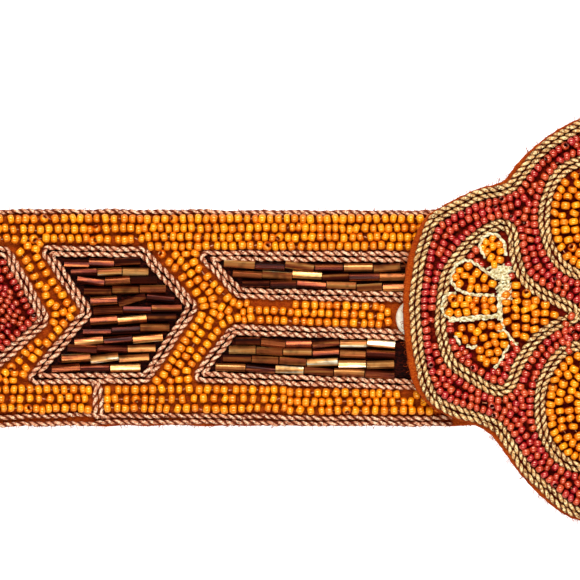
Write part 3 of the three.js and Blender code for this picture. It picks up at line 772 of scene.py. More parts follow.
def calc(tree, operation, *values):
    node = addNode(tree, "ShaderNodeMath", operation=operation)
    for socket, value in zip(node.inputs, values):
        feed(tree, socket, value)
    return node.outputs[0]


def ranged(tree, value, low, high, toLow=0.0, toHigh=1.0):
    places = {"Value": value, "From Min": low, "From Max": high, "To Min": toLow, "To Max": toHigh}
    return addNode(tree, "ShaderNodeMapRange", places).outputs[0]


def mixed(tree, factor, first, second, blend="MIX"):
    node = addNode(tree, "ShaderNodeMix", data_type="RGBA", blend_type=blend)
    for index, value in ((0, factor), (6, first), (7, second)):
        feed(tree, node.inputs[index], value)
    return node.outputs[2]


def mottle(tree, vector, scale, detail=2.0):
    places = {"Vector": vector, "Scale": scale, "Detail": detail}
    return addNode(tree, "ShaderNodeTexNoise", places).outputs[0]


def stretched(tree, vector, scale):
    return addNode(tree, "ShaderNodeMapping", {"Vector": vector, "Scale": scale}).outputs[0]


def objectPlaces(tree):
    return addNode(tree, "ShaderNodeTexCoord").outputs["Object"]


def stored(tree, name):
    return addNode(tree, "ShaderNodeAttribute", attribute_name=name).outputs["Vector"]


def newGroup(name, inputs, outputs):
    group = bpy.data.node_groups.new(name, "ShaderNodeTree")
    kinds = {"Color": "NodeSocketColor", "Vector": "NodeSocketVector", "Float": "NodeSocketFloat"}
    for key, kind in inputs:
        group.interface.new_socket(name=key, in_out="INPUT", socket_type=kinds[kind])
    for key, kind in outputs:
        group.interface.new_socket(name=key, in_out="OUTPUT", socket_type=kinds[kind])
    return group, group.nodes.new("NodeGroupInput").outputs, group.nodes.new("NodeGroupOutput").inputs


def placeGroup(tree, group, values):
    node = addNode(tree, "ShaderNodeGroup", node_tree=group)
    for key, value in values.items():
        feed(tree, node.inputs[key], value)
    return node.outputs


def newMaterial(name, values):
    material = bpy.data.materials.new(name)
    material.use_nodes = True
    tree = material.node_tree
    shader = tree.nodes["Principled BSDF"]
    for key, value in values.items():
        shader.inputs[key].default_value = value
    return material, tree, shader.inputs


# Opaque glass with painted shading: painted shade makes it dark and saturated low on the bead, at its ends
# and in its bore, and a painted highlight makes it paler on top. Hue and brightness also vary at random from
# bead to bead.
def beadGlassGroup():
    group, given, made = newGroup(
        "beadGlassPaintedShading",
        [("Bore Shade Color", "Color"), ("Rim Shade Color", "Color"), ("Body Color", "Color"), ("Crown Highlight Color", "Color"),
         ("Bead", "Vector")],
        [("Color", "Color")],
    )
    parts = addNode(group, "ShaderNodeSeparateXYZ", {0: given["Bead"]}).outputs
    # Painted shade low on the bead and a painted highlight on its top, from each point's height share
    low = ranged(group, parts[0], 0.42, 0.88)
    high = ranged(group, parts[0], 0.84, 1.06)
    colour = mixed(group, low, given["Rim Shade Color"], given["Body Color"])
    colour = mixed(group, high, colour, given["Crown Highlight Color"])
    cloud = mottle(group, objectPlaces(group), 900.0)
    shift = calc(group, "ADD", ranged(group, cloud, 0.35, 0.65, -0.06, 0.06), parts[1])
    tones = addNode(group, "ShaderNodeHueSaturation", {
        "Hue": ranged(group, shift, 0, 1, 0.492, 0.51),
        "Saturation": 1.0,
        "Value": ranged(group, shift, 0, 1, 0.82, 1.12),
        "Color": colour,
    }).outputs[0]
    # Painted shade at the bead's ends, then darker painted shade inside its bore
    ends = mixed(group, ranged(group, parts[2], 0.1, 0.6), tones, given["Rim Shade Color"])
    feed(group, made["Color"], mixed(group, ranged(group, parts[2], 0.55, 0.9), ends, given["Bore Shade Color"]))
    return group


# Twisted yarn with a metallic thread: painted shade between the plies and low on the cord's sides, so it is
# lighter on top, with bright flecks along the fibres that are partly the metallic thread and partly a
# painted glint.
def twistedYarnGroup():
    group, given, made = newGroup(
        "twistedYarnPaintedShading",
        [("Crevice Shade Color", "Color"), ("Strand Color", "Color"), ("Fleck Glint Color", "Color"),
         ("Crevice", "Vector"), ("Strand", "Vector")],
        [("Color", "Color"), ("Fleck", "Float"), ("Height", "Float")],
    )
    outer = addNode(group, "ShaderNodeSeparateXYZ", {0: given["Crevice"]}).outputs[0]
    fibres = mottle(group, stretched(group, given["Strand"], (0.9, 0.4, 0.4)), 1.6, 3.0)
    specks = mottle(group, objectPlaces(group), 2300.0, 1.0)
    worn = mottle(group, objectPlaces(group), 130.0)
    # The fibre pattern runs between the painted crevice shade colour and the strand's own colour
    body = mixed(group, ranged(group, fibres, 0.33, 0.53), given["Crevice Shade Color"], given["Strand Color"])
    body = mixed(group, ranged(group, worn, 0.4, 0.75, 0, 0.3), body, given["Crevice Shade Color"])
    # Painted shade: the crevice colour where a point lies in toward the cord's axis or low on its side
    colour = mixed(group, ranged(group, outer, 0.5, 0.8), given["Crevice Shade Color"], body)
    # Flecks only on the outermost top of the plies: partly metallic thread, partly a painted glint
    fleckGlint = calc(group, "MULTIPLY", ranged(group, outer, 0.7, 0.95), ranged(group, specks, 0.46, 0.56))
    feed(group, made["Color"], mixed(group, fleckGlint, colour, given["Fleck Glint Color"]))
    feed(group, made["Fleck"], fleckGlint)
    feed(group, made["Height"], fibres)
    return group


beadGlassPaintedShading = beadGlassGroup()
twistedYarnPaintedShading = twistedYarnGroup()


# bore and rim are painted-shade colours, body is the glass's own colour, the crown colour is a painted
# highlight on top, and gleam tints the real gloss
def beadMaterial(name, bore, rim, body, crownHighlight, gleam):
    finish = {"Roughness": 0.13, "IOR": 1.65, "Specular IOR Level": 1.0, "Specular Tint": gleam}
    material, tree, shader = newMaterial(name, finish)
    colours = {"Bore Shade Color": bore, "Rim Shade Color": rim, "Body Color": body, "Crown Highlight Color": crownHighlight,
               "Bead": stored(tree, "bead")}
    feed(tree, shader["Base Color"], placeGroup(tree, beadGlassPaintedShading, colours)["Color"])
    return material


# The first colour is painted shade between the plies, the second the strands' own colour, the third pale
# flecks that are partly metallic thread and partly painted glint
def cordMaterial(name, creviceShade, strand, fleckGlint):
    material, tree, shader = newMaterial(name, {"Roughness": 0.5, "Specular IOR Level": 0.12})
    made = placeGroup(tree, twistedYarnPaintedShading, {
        "Crevice Shade Color": creviceShade,
        "Strand Color": strand,
        "Fleck Glint Color": fleckGlint,
        "Crevice": stored(tree, "creviceShade"),
        "Strand": stored(tree, "strand"),
    })
    feed(tree, shader["Base Color"], made["Color"])
    feed(tree, shader["Roughness"], ranged(tree, made["Fleck"], 0, 1, 0.75, 0.4))
    bump = addNode(tree, "ShaderNodeBump", {"Height": made["Height"], "Strength": 0.6, "Distance": 0.0001})
    feed(tree, shader["Normal"], bump.outputs[0])
    return material


def bugleMaterial():
    finish = {"IOR": 1.5, "Specular IOR Level": 0.3, "Coat Weight": 0.05, "Coat Roughness": 0.1}
    material, tree, shader = newMaterial("bronzeLinedGlass", finish)
    parts = addNode(tree, "ShaderNodeSeparateXYZ", {0: stored(tree, "bead")}).outputs
    streaks = mottle(tree, stretched(tree, objectPlaces(tree), (90, 2600, 1100)), 1.0, 3.0)
    patches = mottle(tree, objectPlaces(tree), 420.0)
    tone = calc(tree, "ADD", parts[1], ranged(tree, streaks, 0.3, 0.7, -0.2, 0.2))
    ramp = addNode(tree, "ShaderNodeValToRGB", {0: tone})
    # Dark maroon to tan is the tubes' own colour; the near-white top stop is a painted reflection of the
    # lamps
    stops = [(0, (0.012, 0.001, 0.0005, 1)), (0.26, (0.1, 0.01, 0.002, 1)), (0.48, (0.3, 0.07, 0.014, 1)),
             (0.74, (0.52, 0.2, 0.045, 1)), (0.92, (0.8, 0.45, 0.15, 1)), (1, (1, 0.93, 0.68, 1))]
    while len(ramp.color_ramp.elements) < len(stops):
        ramp.color_ramp.elements.new(0.5)
    for element, (place, colour) in zip(ramp.color_ramp.elements, stops):
        element.position = place
        element.color = colour
    colour = mixed(tree, ranged(tree, patches, 0.5, 0.72, 0, 0.6), ramp.outputs[0], (0.03, 0.004, 0.001, 1))
    # Painted shade inside the tube's bore
    feed(tree, shader["Base Color"], mixed(tree, parts[2], colour, (0.006, 0.001, 0.001, 1)))
    feed(tree, shader["Metallic"], ranged(tree, tone, 0.2, 0.9, 0.75, 0.5))
    feed(tree, shader["Roughness"], ranged(tree, streaks, 0.3, 0.7, 0.36, 0.2))
    return material


# Dark sheets over the felt between close-set tubes and beads, as painted shade; a fibre pattern keeps them
# looking like felt
def shadeSheetMaterial(name, dark, light):
    material, tree, shader = newMaterial(name, {"Roughness": 0.9, "Specular IOR Level": 0.1})
    fibres = mottle(tree, stretched(tree, objectPlaces(tree), (1.0, 2.4, 1.0)), 1400.0, 4.0)
    colour = mixed(tree, ranged(tree, fibres, 0.45, 0.75), dark, light)
    feed(tree, shader["Base Color"], colour)
    return material


def feltMaterial():
    material, tree, shader = newMaterial("rustFelt", {"Roughness": 0.95, "Specular IOR Level": 0.1})
    place = objectPlaces(tree)
    fibres = mottle(tree, stretched(tree, place, (1.0, 2.4, 1.0)), 2600.0, 4.0)
    blots = mottle(tree, place, 300.0)
    colour = mixed(tree, ranged(tree, fibres, 0.3, 0.7), (0.22, 0.01, 0, 1), (0.58, 0.1, 0.006, 1))
    colour = mixed(tree, ranged(tree, blots, 0.4, 0.7, 0, 0.5), colour, (0.22, 0.01, 0, 1))
    feed(tree, shader["Base Color"], colour)
    bump = addNode(tree, "ShaderNodeBump", {"Height": fibres, "Strength": 0.9, "Distance": 0.0003})
    feed(tree, shader["Normal"], bump.outputs[0])
    return material


def threadMaterial(name, dark, light):
    material, tree, shader = newMaterial(name, {"Roughness": 0.6, "Specular IOR Level": 0.1})
    speckle = mottle(tree, objectPlaces(tree), 1500.0)
    feed(tree, shader["Base Color"], mixed(tree, ranged(tree, speckle, 0.35, 0.65), dark, light))
    return material


def plasticMaterial():
    material, tree, shader = newMaterial("snapPlastic", {"Roughness": 0.35})
    scuffs = mottle(tree, objectPlaces(tree), 700.0, 4.0)
    colour = mixed(tree, ranged(tree, scuffs, 0.4, 0.75), (0.86, 0.8, 0.64, 1), (0.6, 0.5, 0.33, 1))
    feed(tree, shader["Base Color"], colour)
    feed(tree, shader["Roughness"], ranged(tree, scuffs, 0.3, 0.7, 0.3, 0.55))
    return material


# Orange and red glass: a painted-shade colour for the bore and one for the rim, the glass's own body colour,
# a painted-highlight colour for the top, and a gloss tint
orangeGlass = beadMaterial("orangeGlass", (0.2, 0.014, 0, 1), (0.4, 0.03, 0, 1), (0.84, 0.165, 0.001, 1),
                           (0.96, 0.28, 0.004, 1), (1.0, 0.8, 0.3, 1))
redGlass = beadMaterial("redGlass", (0.05, 0, 0, 1), (0.15, 0.002, 0, 1), (0.46, 0.018, 0.008, 1),
                        (0.62, 0.045, 0.022, 1), (1.0, 0.72, 0.5, 1))
# Yarn colours: a dark painted-shade colour for the crevices, the strands' own colour, and pale flecks,
# partly metallic thread and partly painted glint
pinkYarn = cordMaterial("pinkYarn", (0.13, 0.014, 0.002, 1), (0.7, 0.27, 0.13, 1), (0.95, 0.66, 0.42, 1))
goldYarn = cordMaterial("goldYarn", (0.085, 0.01, 0.001, 1), (0.7, 0.36, 0.12, 1), (0.95, 0.74, 0.36, 1))
bronzeGlass = bugleMaterial()
rustFelt = feltMaterial()
rowThread = threadMaterial("rowThread", (0.5, 0.13, 0.04, 1), (0.9, 0.42, 0.22, 1))
goldThread = threadMaterial("goldThread", (0.45, 0.3, 0.09, 1), (1.0, 0.95, 0.64, 1))
# Painted shade for under the bugle tubes and under the red and plaque beads
tubeShadeSheet = shadeSheetMaterial("tubeShadeSheet", (0.006, 0.0005, 0.0003, 1), (0.08, 0.006, 0.001, 1))
redShadeSheet = shadeSheetMaterial("redShadeSheet", (0.1, 0.001, 0, 1), (0.3, 0.02, 0.001, 1))
snapPlastic = plasticMaterial()
print("materials ready")

# The felt band: a fine grid along the route, a little uneven at its edges, given its thickness
bandCloth = {"step": 2.0, "rows": 18, "edgeWave": 0.12, "round": 0.35}


def makeBandCloth():
    columns = round(routeLength / bandCloth["step"])
    bm = bmesh.new()
    bmesh.ops.create_grid(bm, x_segments=columns, y_segments=bandCloth["rows"], size=1)
    half = belt["bandWidth"] / 2
    s = np.array([(vert.co.x + 1) / 2 * routeLength for vert in bm.verts])
    y = np.array([vert.co.y for vert in bm.verts])
    edge = bandCloth["edgeWave"] * (np.sin(s / 4.3) + np.sin(s / 1.9 + 1)) - bandCloth["edgeWave"]
    y = y * (half + np.where(np.abs(y) > 0.99, edge, 0))
    x, z, turned = clothAt(s)
    for vert, px, py, pz, angle in zip(bm.verts, x, y, z, turned):
        vert.co = (px - clothFace * sin(angle), py, pz + clothFace * cos(angle))
    bmesh.ops.scale(bm, vec=(mm, mm, mm), verts=bm.verts)
    mesh = meshFrom(bm, "bandCloth")
    piece = newPiece("bandCloth", mesh, rustFelt, ["band_cloth"])
    wall = piece.modifiers.new("thickness", "SOLIDIFY")
    wall.thickness = belt["bandThickness"] * mm
    wall.offset = -1
    edges = piece.modifiers.new("softEdges", "BEVEL")
    edges.width = bandCloth["round"] * mm
    edges.segments = 2
    edges.limit_method = "ANGLE"
    edges.angle_limit = radians(60)
    return piece


makeBandCloth()

# The plaque's felt: its outline filled and given its thickness, with softened edges
plaqueCloth = {"outlineStep": 0.8, "round": 0.45, "edgeWave": 0.1}


def makePlaqueCloth():
    line = spaced(plaqueClothLine, plaqueCloth["outlineStep"])
    steps = np.arange(len(line))
    wave = plaqueCloth["edgeWave"] * np.sin(steps * 1.9) * np.sin(steps * 0.37)
    heading = headingsOf(line)
    line = line + wave[:, None] * outwardsOf(heading)
    bm = bmesh.new()
    rim = [bm.verts.new((x, y, plaqueUnderside)) for x, y in line]
    floor = bm.faces.new(rim)
    wall = bmesh.ops.extrude_face_region(bm, geom=[floor])["geom"]
    raised = [item for item in wall if isinstance(item, bmesh.types.BMVert)]
    bmesh.ops.translate(bm, vec=(0, 0, belt["plaqueThickness"]), verts=raised)
    bmesh.ops.recalc_face_normals(bm, faces=bm.faces)
    corners = [edge for edge in bm.edges if abs(edge.verts[0].co.z - edge.verts[1].co.z) < 0.01]
    bmesh.ops.bevel(bm, geom=corners, offset=plaqueCloth["round"], offset_type="OFFSET", affect="EDGES",
                    segments=2, profile=0.5, material=-1)
    bmesh.ops.triangulate(bm, faces=[face for face in bm.faces if len(face.verts) > 4])
    bmesh.ops.scale(bm, vec=(mm, mm, mm), verts=bm.verts)
    mesh = meshFrom(bm, "plaqueCloth")
    return newPiece("plaqueCloth", mesh, rustFelt, ["plaque_cloth"])


makePlaqueCloth()
print("cloth ready")

# Orange seed beads on the band
orangeBeads = {
    "length": (1.5, 1.95),
    "width": (2.2, 2.5),
    "gap": 0.3,
    "sway": radians(11),
    "turned": 0.025,
    "turnedBy": (0.3, 1.2),
    "turnedTilt": (0.6, 1.15),
    "tilt": radians(7),
    "small": (0.9, 0.94),
    "rowSway": 0.1,
    "lift": 0.12,
    "squeeze": 0.88,
    "clearance": 0.88,
    "fillFrom": 1.3,
    "firstRow": 1.6,
    "rowPitch": 2.3,
    "low": -23.15,
    "high": 25.0,
    "fourRowsFrom": 119,
    "fourRows": (24.05, 21.85, 19.65, 17.5),
    "threeRows": (24.0, 21.6, 19.15),
    "tightGap": 0.12,
    "wideGap": 0.55,
    "lowerRowsFrom": (131, 84),
    "lowerRows": ((-21.5, -19.3, -17.1), (-21.7, -19.4, -17.1), (-22.3, -20.15, -18.05)),
    "middleRows": ((4.2, 2.8), (2.05, 0.6), (-0.1, -1.55)),
    "middleFrom": (93.5, 62),
    "middleLooks": {"squeeze": 0.78, "width": (2.05, 2.35)},
    "backMiddleRows": (3.7, 1.6, -0.5),
    "crossing": 130.2,
}
snapPlace = {"far": 59.5, "low": -4.185, "high": 4.9}


def box(left, right, low, high):
    return np.array([(left, low), (right, low), (right, high), (left, high)], float)


def motifLine(name, distance=0):
    return roundedLine(bandMotifs[name], distance)


def addLevelRow(field, start, end, level, gap):
    u = np.arange(atBeads(start), atBeads(end), 1.0)
    field.addRow(np.stack([u, level + 0.12 * np.sin(u / 6 + level)], axis=1), closed=False, gap=gap)


def layOrangeBeads():
    looks = orangeBeads
    hidden = moved(plaqueClothLine, belt["coverGap"])
    onCloth = np.stack([[atBeads(onTab(x)) for x in hidden[:, 0]], hidden[:, 1]], axis=1)
    region = [regionEdge(box(fieldStart, fieldEnd, looks["low"], looks["high"]), True)]
    region.append(regionEdge(onCloth, False))
    snapRoom = box(atBeads(onLeft(snapPlace["far"])), fieldEnd + 1, snapPlace["low"], snapPlace["high"])
    region.append(regionEdge(snapRoom, False))
    for place in (onLeft, onRight):
        middle = atBeads(place(looks["crossing"]))
        region.append(regionEdge(box(middle - 1.3, middle + 1.3, -24, -15), False))
    for name in bandMotifs:
        region.append(regionEdge(motifLine(name, bandPairReach + 0.1), False))
    field = BeadField(region, looks, 11)
    far = looks["fourRowsFrom"]
    stops = [onTab(belt["plaqueReach"] / 2), onRight(far), onBackRight(far), onBackLeft(far), onLeft(far),
             onLeft(motif["barNear"])]
    for k, (start, end) in enumerate(zip(stops, stops[1:])):
        rows = looks["threeRows"] if k % 2 else looks["fourRows"]
        gap = looks["wideGap"] if k % 2 else looks["tightGap"]
        for level in rows:
            addLevelRow(field, start, end, level, gap)
    outer, inner = looks["lowerRowsFrom"]
    stops = [onTab(belt["plaqueReach"] / 2), onRight(inner), onRight(outer), onBackRight(outer),
             onBackRight(inner), onBackLeft(inner), onBackLeft(outer), onLeft(outer), onLeft(inner),
             onLeft(motif["barNear"])]
    for k, (start, end) in enumerate(zip(stops, stops[1:])):
        for level in looks["lowerRows"][(2, 1, 0, 1)[k % 4]]:
            addLevelRow(field, start, end, level, looks["wideGap"] * 0.75)
    far, near = looks["middleFrom"]
    field.looks = {**looks, **looks["middleLooks"]}
    for place in (onLeft, onRight):
        for start, end in looks["middleRows"]:
            line = spaced(np.array([(atBeads(place(far)), start), (atBeads(place(near)), end)]), 1.0, False)
            line[:, 1] += 0.12 * np.sin(line[:, 0] / 3)
            field.addRow(line, closed=False, gap=looks["wideGap"] * 0.5)
    for level in looks["backMiddleRows"]:
        addLevelRow(field, onBackRight(far), onBackLeft(far), level, looks["wideGap"] * 0.7)
    field.looks = looks
    for k in range(4):
        for name in bandMotifs:
            field.addRow(motifLine(name, bandPairReach + looks["firstRow"] + k * looks["rowPitch"]))
    field.fillRest((fieldStart, looks["low"]), (fieldEnd, looks["high"]))
    return field


# Beads under the loop, where the belt lies on them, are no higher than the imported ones
seated = {"past": 8, "width": 2.0, "tilt": 0.3}


def settle(beads):
    for bead in beads:
        if rightMiddle - seated["past"] < bead["x"] < leftMiddle + seated["past"]:
            bead["width"] = min(bead["width"], seated["width"])
            bead["lift"] = 0
            bead["tilt"] *= seated["tilt"]


orangeField = layOrangeBeads()
settle(orangeField.beads)
frontLeft = [bead for bead in orangeField.beads if bead["x"] > leftMiddle]
frontRight = [bead for bead in orangeField.beads if bead["x"] < rightMiddle]
back = [bead for bead in orangeField.beads if rightMiddle <= bead["x"] <= leftMiddle]
ground = ["orange_bead_ground"]
beadPiece("orangeBeadsFrontLeft", frontLeft, nearBead, placeOnBand, orangeGlass, ground)
beadPiece("orangeBeadsFrontRight", frontRight, farBead, placeOnBand, orangeGlass, ground)
beadPiece("orangeBeadsBack", back, farBead, placeOnBand, orangeGlass, ground)

# Red seed beads in the lozenges
redBeads = {
    **orangeBeads,
    "length": (1.35, 1.7),
    "width": (2.0, 2.25),
    "gap": 0.08,
    "sway": radians(22),
    "turned": 0.04,
    "squeeze": 0.8,
    "clearance": 0.8,
    "fillFrom": 1.1,
    "rowPitch": 1.95,
    "lift": 0.3,
}


def layLozenge(name, seed):
    field = BeadField([regionEdge(motifLine(name, -bandPairReach), True)], redBeads, seed)
    field.addRow(motifLine(name, -bandPairReach - 0.95))
    line = motifLine(name)
    field.fillRest(line.min(axis=0), line.max(axis=0))
    return field


lozengeFields = [layLozenge("lozenge_left", 21), layLozenge("lozenge_right", 22)]
lozengeBeads = [bead for field in lozengeFields for bead in field.beads]
settle(lozengeBeads)
beadPiece("lozengeBeads", lozengeBeads, farBead, placeOnBand, redGlass,
          ["lozenge_left_beads", "lozenge_right_beads"])

# Bronze bugle tubes in rows inside the chevrons and bars, on a dark sheet of painted shade
bugles = {
    "length": 6.9,
    "longest": 7.5,
    "diameter": (1.9, 2.12),
    "rowPitch": 2.32,
    "endGap": (0.1, 0.35),
    "clearance": 0.72,
    "chevronRise": 0.05,
    "wave": 0.16,
    "lowerEnd": 58.9,
    "shadeSheetLift": 0.07,
}


def bugleShape():
    bm = bmesh.new()
    bmesh.ops.create_cone(bm, cap_ends=True, segments=6, radius1=0.5, radius2=0.5, depth=1)
    sides = [edge for edge in bm.edges if abs(edge.verts[0].co.z - edge.verts[1].co.z) > 0.5]
    bmesh.ops.bevel(bm, geom=sides, offset=0.07, offset_type="OFFSET", affect="EDGES", segments=1,
                    profile=0.5, material=-1)
    ends = [face for face in bm.faces if abs(face.normal.z) > 0.9]
    bmesh.ops.inset_individual(bm, faces=ends, thickness=0.17)
    for vert in bm.verts:
        vert.co = (vert.co.z, vert.co.x, vert.co.y)
    bmesh.ops.recalc_face_normals(bm, faces=bm.faces)
    bm.verts.index_update()
    return shapeOf(bm, lambda x, y, z: 1 if hypot(y, z) < 0.38 else 0)


# The top and bottom of a motif's tube rows where they start and end, as shares of the half height
def rowLimits(name, line):
    low, high = line[:, 0].min(), line[:, 0].max()
    if "chevron" in name:
        rise = bugles["chevronRise"] * (high - low) / motif["halfHeight"] / 2
        rise = rise if name in ("chevron_front_left", "chevron_back_right") else -rise
        return low, high, (1.04 - rise, 1.04 + rise), (-0.935 - rise * 0.3, -0.935 + rise * 0.3)
    level = "upper" if "upper" in name else "lower"
    far = [row[1] for row in barFarCorners[level]]
    near = barNearLevels[level] if "front" in name else sorted(far)
    tops, bottoms = (max(far), max(near)), (min(far), min(near))
    if "right" in name:
        tops, bottoms = tops[::-1], bottoms[::-1]
    return low, high, tops, bottoms


def layBugles(name, corners, dice):
    inner = roundedLine(corners, -bandPairReach)
    region = [regionEdge(inner, True)]
    low, high, tops, bottoms = rowLimits(name, roundedLine(corners))
    rows = 3 if "upper" in name else 4 if "lower" in name else 12
    last = atBeads(onLeft(bugles["lowerEnd"])) if name == "bar_front_left_lower" else high
    laid = []
    for row in range(rows):
        xs = np.arange(low, last, 0.2)
        share = (xs - low) / (high - low)
        top = (tops[0] + (tops[1] - tops[0]) * share) * motif["halfHeight"] - bandPairReach
        bottom = (bottoms[0] + (bottoms[1] - bottoms[0]) * share) * motif["halfHeight"] + bandPairReach
        ys = bottom + (top - bottom) * (row + 0.5) / rows
        ys = ys + bugles["wave"] * np.sin(xs / 7 + row * 0.7)
        inside = [depthIn(region, x, y) >= bugles["clearance"] for x, y in zip(xs, ys)]
        start = None
        for i in range(len(xs) + 1):
            if i < len(xs) and inside[i]:
                start = i if start is None else start
                continue
            if start is not None and i - start > 14:
                laid += tubesAlong(xs[start:i], ys[start:i], dice)
            start = None
    return laid


def tubesAlong(xs, ys, dice):
    room = xs[-1] - xs[0] + 0.6
    first = xs[0] - 0.3
    parts, laid = [], []
    while sum(parts) < room - 2.2:
        parts.append(bugles["length"] * dice.uniform(0.93, 1.07))
    if len(parts) > 1 and sum(parts) - room > 3.4:
        parts.pop()
    scale = min(room / sum(parts), bugles["longest"] / max(parts))
    shift = dice.uniform(0, room - sum(parts) * scale)
    for part in parts:
        length = part * scale
        middle = first + shift + length / 2
        ahead, behind = np.interp([middle + 2, middle - 2], xs, ys)
        laid.append({
            "x": middle,
            "y": np.interp(middle, xs, ys) + dice.gauss(0, 0.11),
            "length": length - dice.uniform(*bugles["endGap"]),
            "angle": atan2(ahead - behind, 4) + dice.gauss(0, radians(6 if dice.random() < 0.15 else 2.2)),
            "tilt": dice.gauss(0, radians(0.9)),
            "roll": dice.uniform(0, 2 * pi),
            "width": dice.uniform(*bugles["diameter"]),
            "tone": dice.random(),
        })
        first += length
    return laid


def makeBugles():
    dice = random.Random(31)
    laid = [tube for name, corners in bugleMotifs.items() for tube in layBugles(name, corners, dice)]
    column = {key: np.array([tube[key] for tube in laid]) for key in laid[0]}
    shape = bugleShape()
    size = np.stack([column["length"], column["width"], column["width"]], axis=1)
    offsets = turnedOffsets(shape, size, column["angle"], column["tilt"], column["roll"])
    middles = np.stack([column["x"], column["y"], 0.1 - offsets[..., 2].min(axis=1)], axis=1)
    mesh = copiesMesh("bandBugles", shape, middles, offsets, placeOnBand, column["tone"])
    # Each long facet has its own tone at random: partly the lining showing through, partly painted
    # reflection, as the palest tones paint facets that mirror the light
    points = shape["points"]
    facet = np.floor(np.arctan2(points[:, 2], points[:, 1]) / (pi / 3) + 0.001).astype(int) % 6
    shades = np.random.default_rng(33).uniform(-0.3, 0.3, (len(laid), 6))
    tones = np.clip(column["tone"][:, None] ** 1.6 * 0.72 + 0.14 + shades[:, facet], 0.02, 1)
    values = np.empty(len(mesh.vertices) * 3, np.float32)
    mesh.attributes["bead"].data.foreach_get("vector", values)
    values = values.reshape(-1, 3)
    values[:, 1] = tones.ravel()
    mesh.attributes["bead"].data.foreach_set("vector", values.ravel())
    nodes = [f"{name}_bugles" for name in bugleMotifs]
    return newPiece("bandBugles", mesh, bronzeGlass, nodes, smooth=False)


# Each painted-shade sheet is its outlines filled, cut across so that they bend with the cloth, and given a
# thickness; it lies just over the felt and darkens it where the beads and tubes shade it
def makeShadeSheet(name, lines, place, material, nodes=()):
    bm = bmesh.new()
    for line in lines:
        part = bmesh.new()
        part.faces.new([part.verts.new((x, y, 0)) for x, y in spaced(line, 0.8)])
        for cut in np.arange(line[:, 0].min() + 2, line[:, 0].max(), 2):
            bmesh.ops.bisect_plane(part, geom=part.verts[:] + part.edges[:] + part.faces[:],
                                   plane_co=(cut, 0, 0), plane_no=(1, 0, 0))
        flat = meshFrom(part, "cut")
        bm.from_mesh(flat)
        bpy.data.meshes.remove(flat)
    bmesh.ops.recalc_face_normals(bm, faces=bm.faces)
    bmesh.ops.solidify(bm, geom=bm.faces[:], thickness=0.05)
    places = np.array([vert.co[:] for vert in bm.verts])
    places[:, 2] += bugles["shadeSheetLift"]
    places = placePoints(place, places) * mm
    for vert, spot in zip(bm.verts, places):
        vert.co = spot
    bmesh.ops.triangulate(bm, faces=[face for face in bm.faces if len(face.verts) > 4])
    bmesh.ops.recalc_face_normals(bm, faces=bm.faces)
    mesh = meshFrom(bm, name)
    return newPiece(name, mesh, material, nodes)


reach = belt["bandCordSpacing"] / 2
# Painted shade under the bugle tubes, the lozenges' red beads and the plaque's beads
makeShadeSheet("bugleShadeSheet", [motifLine(name, reach) for name in bugleMotifs], placeOnBand, tubeShadeSheet)
makeShadeSheet("lozengeShadeSheet", [motifLine(name, reach) for name in redMotifs], placeOnBand, redShadeSheet)
makeShadeSheet("plaqueShadeSheet", [moved(plaqueCordLine, reach)], placeOnPlaque, redShadeSheet)
makeBugles()
print("band beads ready")

# Twisted cords round the motifs and along the band's edges
bandCord = {
    "pitch": 4.1,
    "steps": 10,
    "coil": 0.29,
    "ply": 0.4,
    "lift": 0.66,
    "wobble": 0.1,
    "sides": 6,
    "fibreTwist": 0.8,
}
farCord = {**bandCord, "steps": 7, "sides": 4}
edgeCords = {
    "from": (84, 92, 129, 133),
    "rows": (
        (25.4, 25.45, 25.8, 25.8, 25.6),
        (-24.05, -23.6, -23.5, -23.15, -23.93),
        (-25.4, -25.05, -25.0, -25.45, -25.38),
    ),
    "wave": 0.12,
}


def makeMotifCords():
    dice = random.Random(41)
    front, rear = [], []
    for name in bandMotifs:
        for offset in (-belt["bandCordSpacing"] / 2, belt["bandCordSpacing"] / 2):
            line = motifLine(name, offset)
            if "front_left" in name or name == "lozenge_left":
                front += twistedCord(line, True, bandCord, placeOnBand, dice)
            else:
                rear += twistedCord(line, True, farCord, placeOnBand, dice)
    for place in (onLeft, onRight):
        middle = atBeads(place(orangeBeads["crossing"]))
        for offset in (-0.64, 0.64):
            across = np.array([offset - 0.5, offset * 1.15, offset, offset * 1.6 + 0.4])
            line = np.stack([middle + across, (-15.4, -19, -22, -24.2)], axis=1)
            front += twistedCord(line, False, bandCord, placeOnBand, dice)
    near = [name for name in bandMotifs if "front_left" in name or name == "lozenge_left"]
    cordPiece("motifCordsFront", front, bandCord, pinkYarn, [f"{name}_cords" for name in near])
    far = [f"{name}_cords" for name in bandMotifs if name not in near]
    cordPiece("motifCordsBack", rear, farCord, pinkYarn, far)


def makeEdgeCords():
    dice = random.Random(43)
    hidden = moved(plaqueClothLine, belt["coverGap"])
    plies = []
    rights = [atBeads(onRight(distance)) for distance in edgeCords["from"]]
    lefts = [atBeads(onLeft(distance)) for distance in edgeCords["from"]]
    knots = rights + [rights[-1] + 25, lefts[-1] - 25] + lefts[::-1]
    for *levels, middle in edgeCords["rows"]:
        covered = hidden[(np.abs(hidden[:, 1] - levels[0]) < 1.5) & (hidden[:, 0] > 0), 0]
        start = atBeads(onTab(covered.max() if len(covered) else 20))
        u = np.arange(start, fieldEnd, 1.5)
        y = np.interp(u, knots, [*levels, middle, middle, *levels[::-1]])
        y = y + edgeCords["wave"] * np.sin(u / 4.1 + y) * np.sin(u / 17)
        plies += twistedCord(np.stack([u, y], axis=1), False, farCord, placeOnBand, dice)
    cordPiece("edgeCords", plies, farCord, pinkYarn, ["edge_cord_upper", "edge_cords_lower"])


makeMotifCords()
makeEdgeCords()

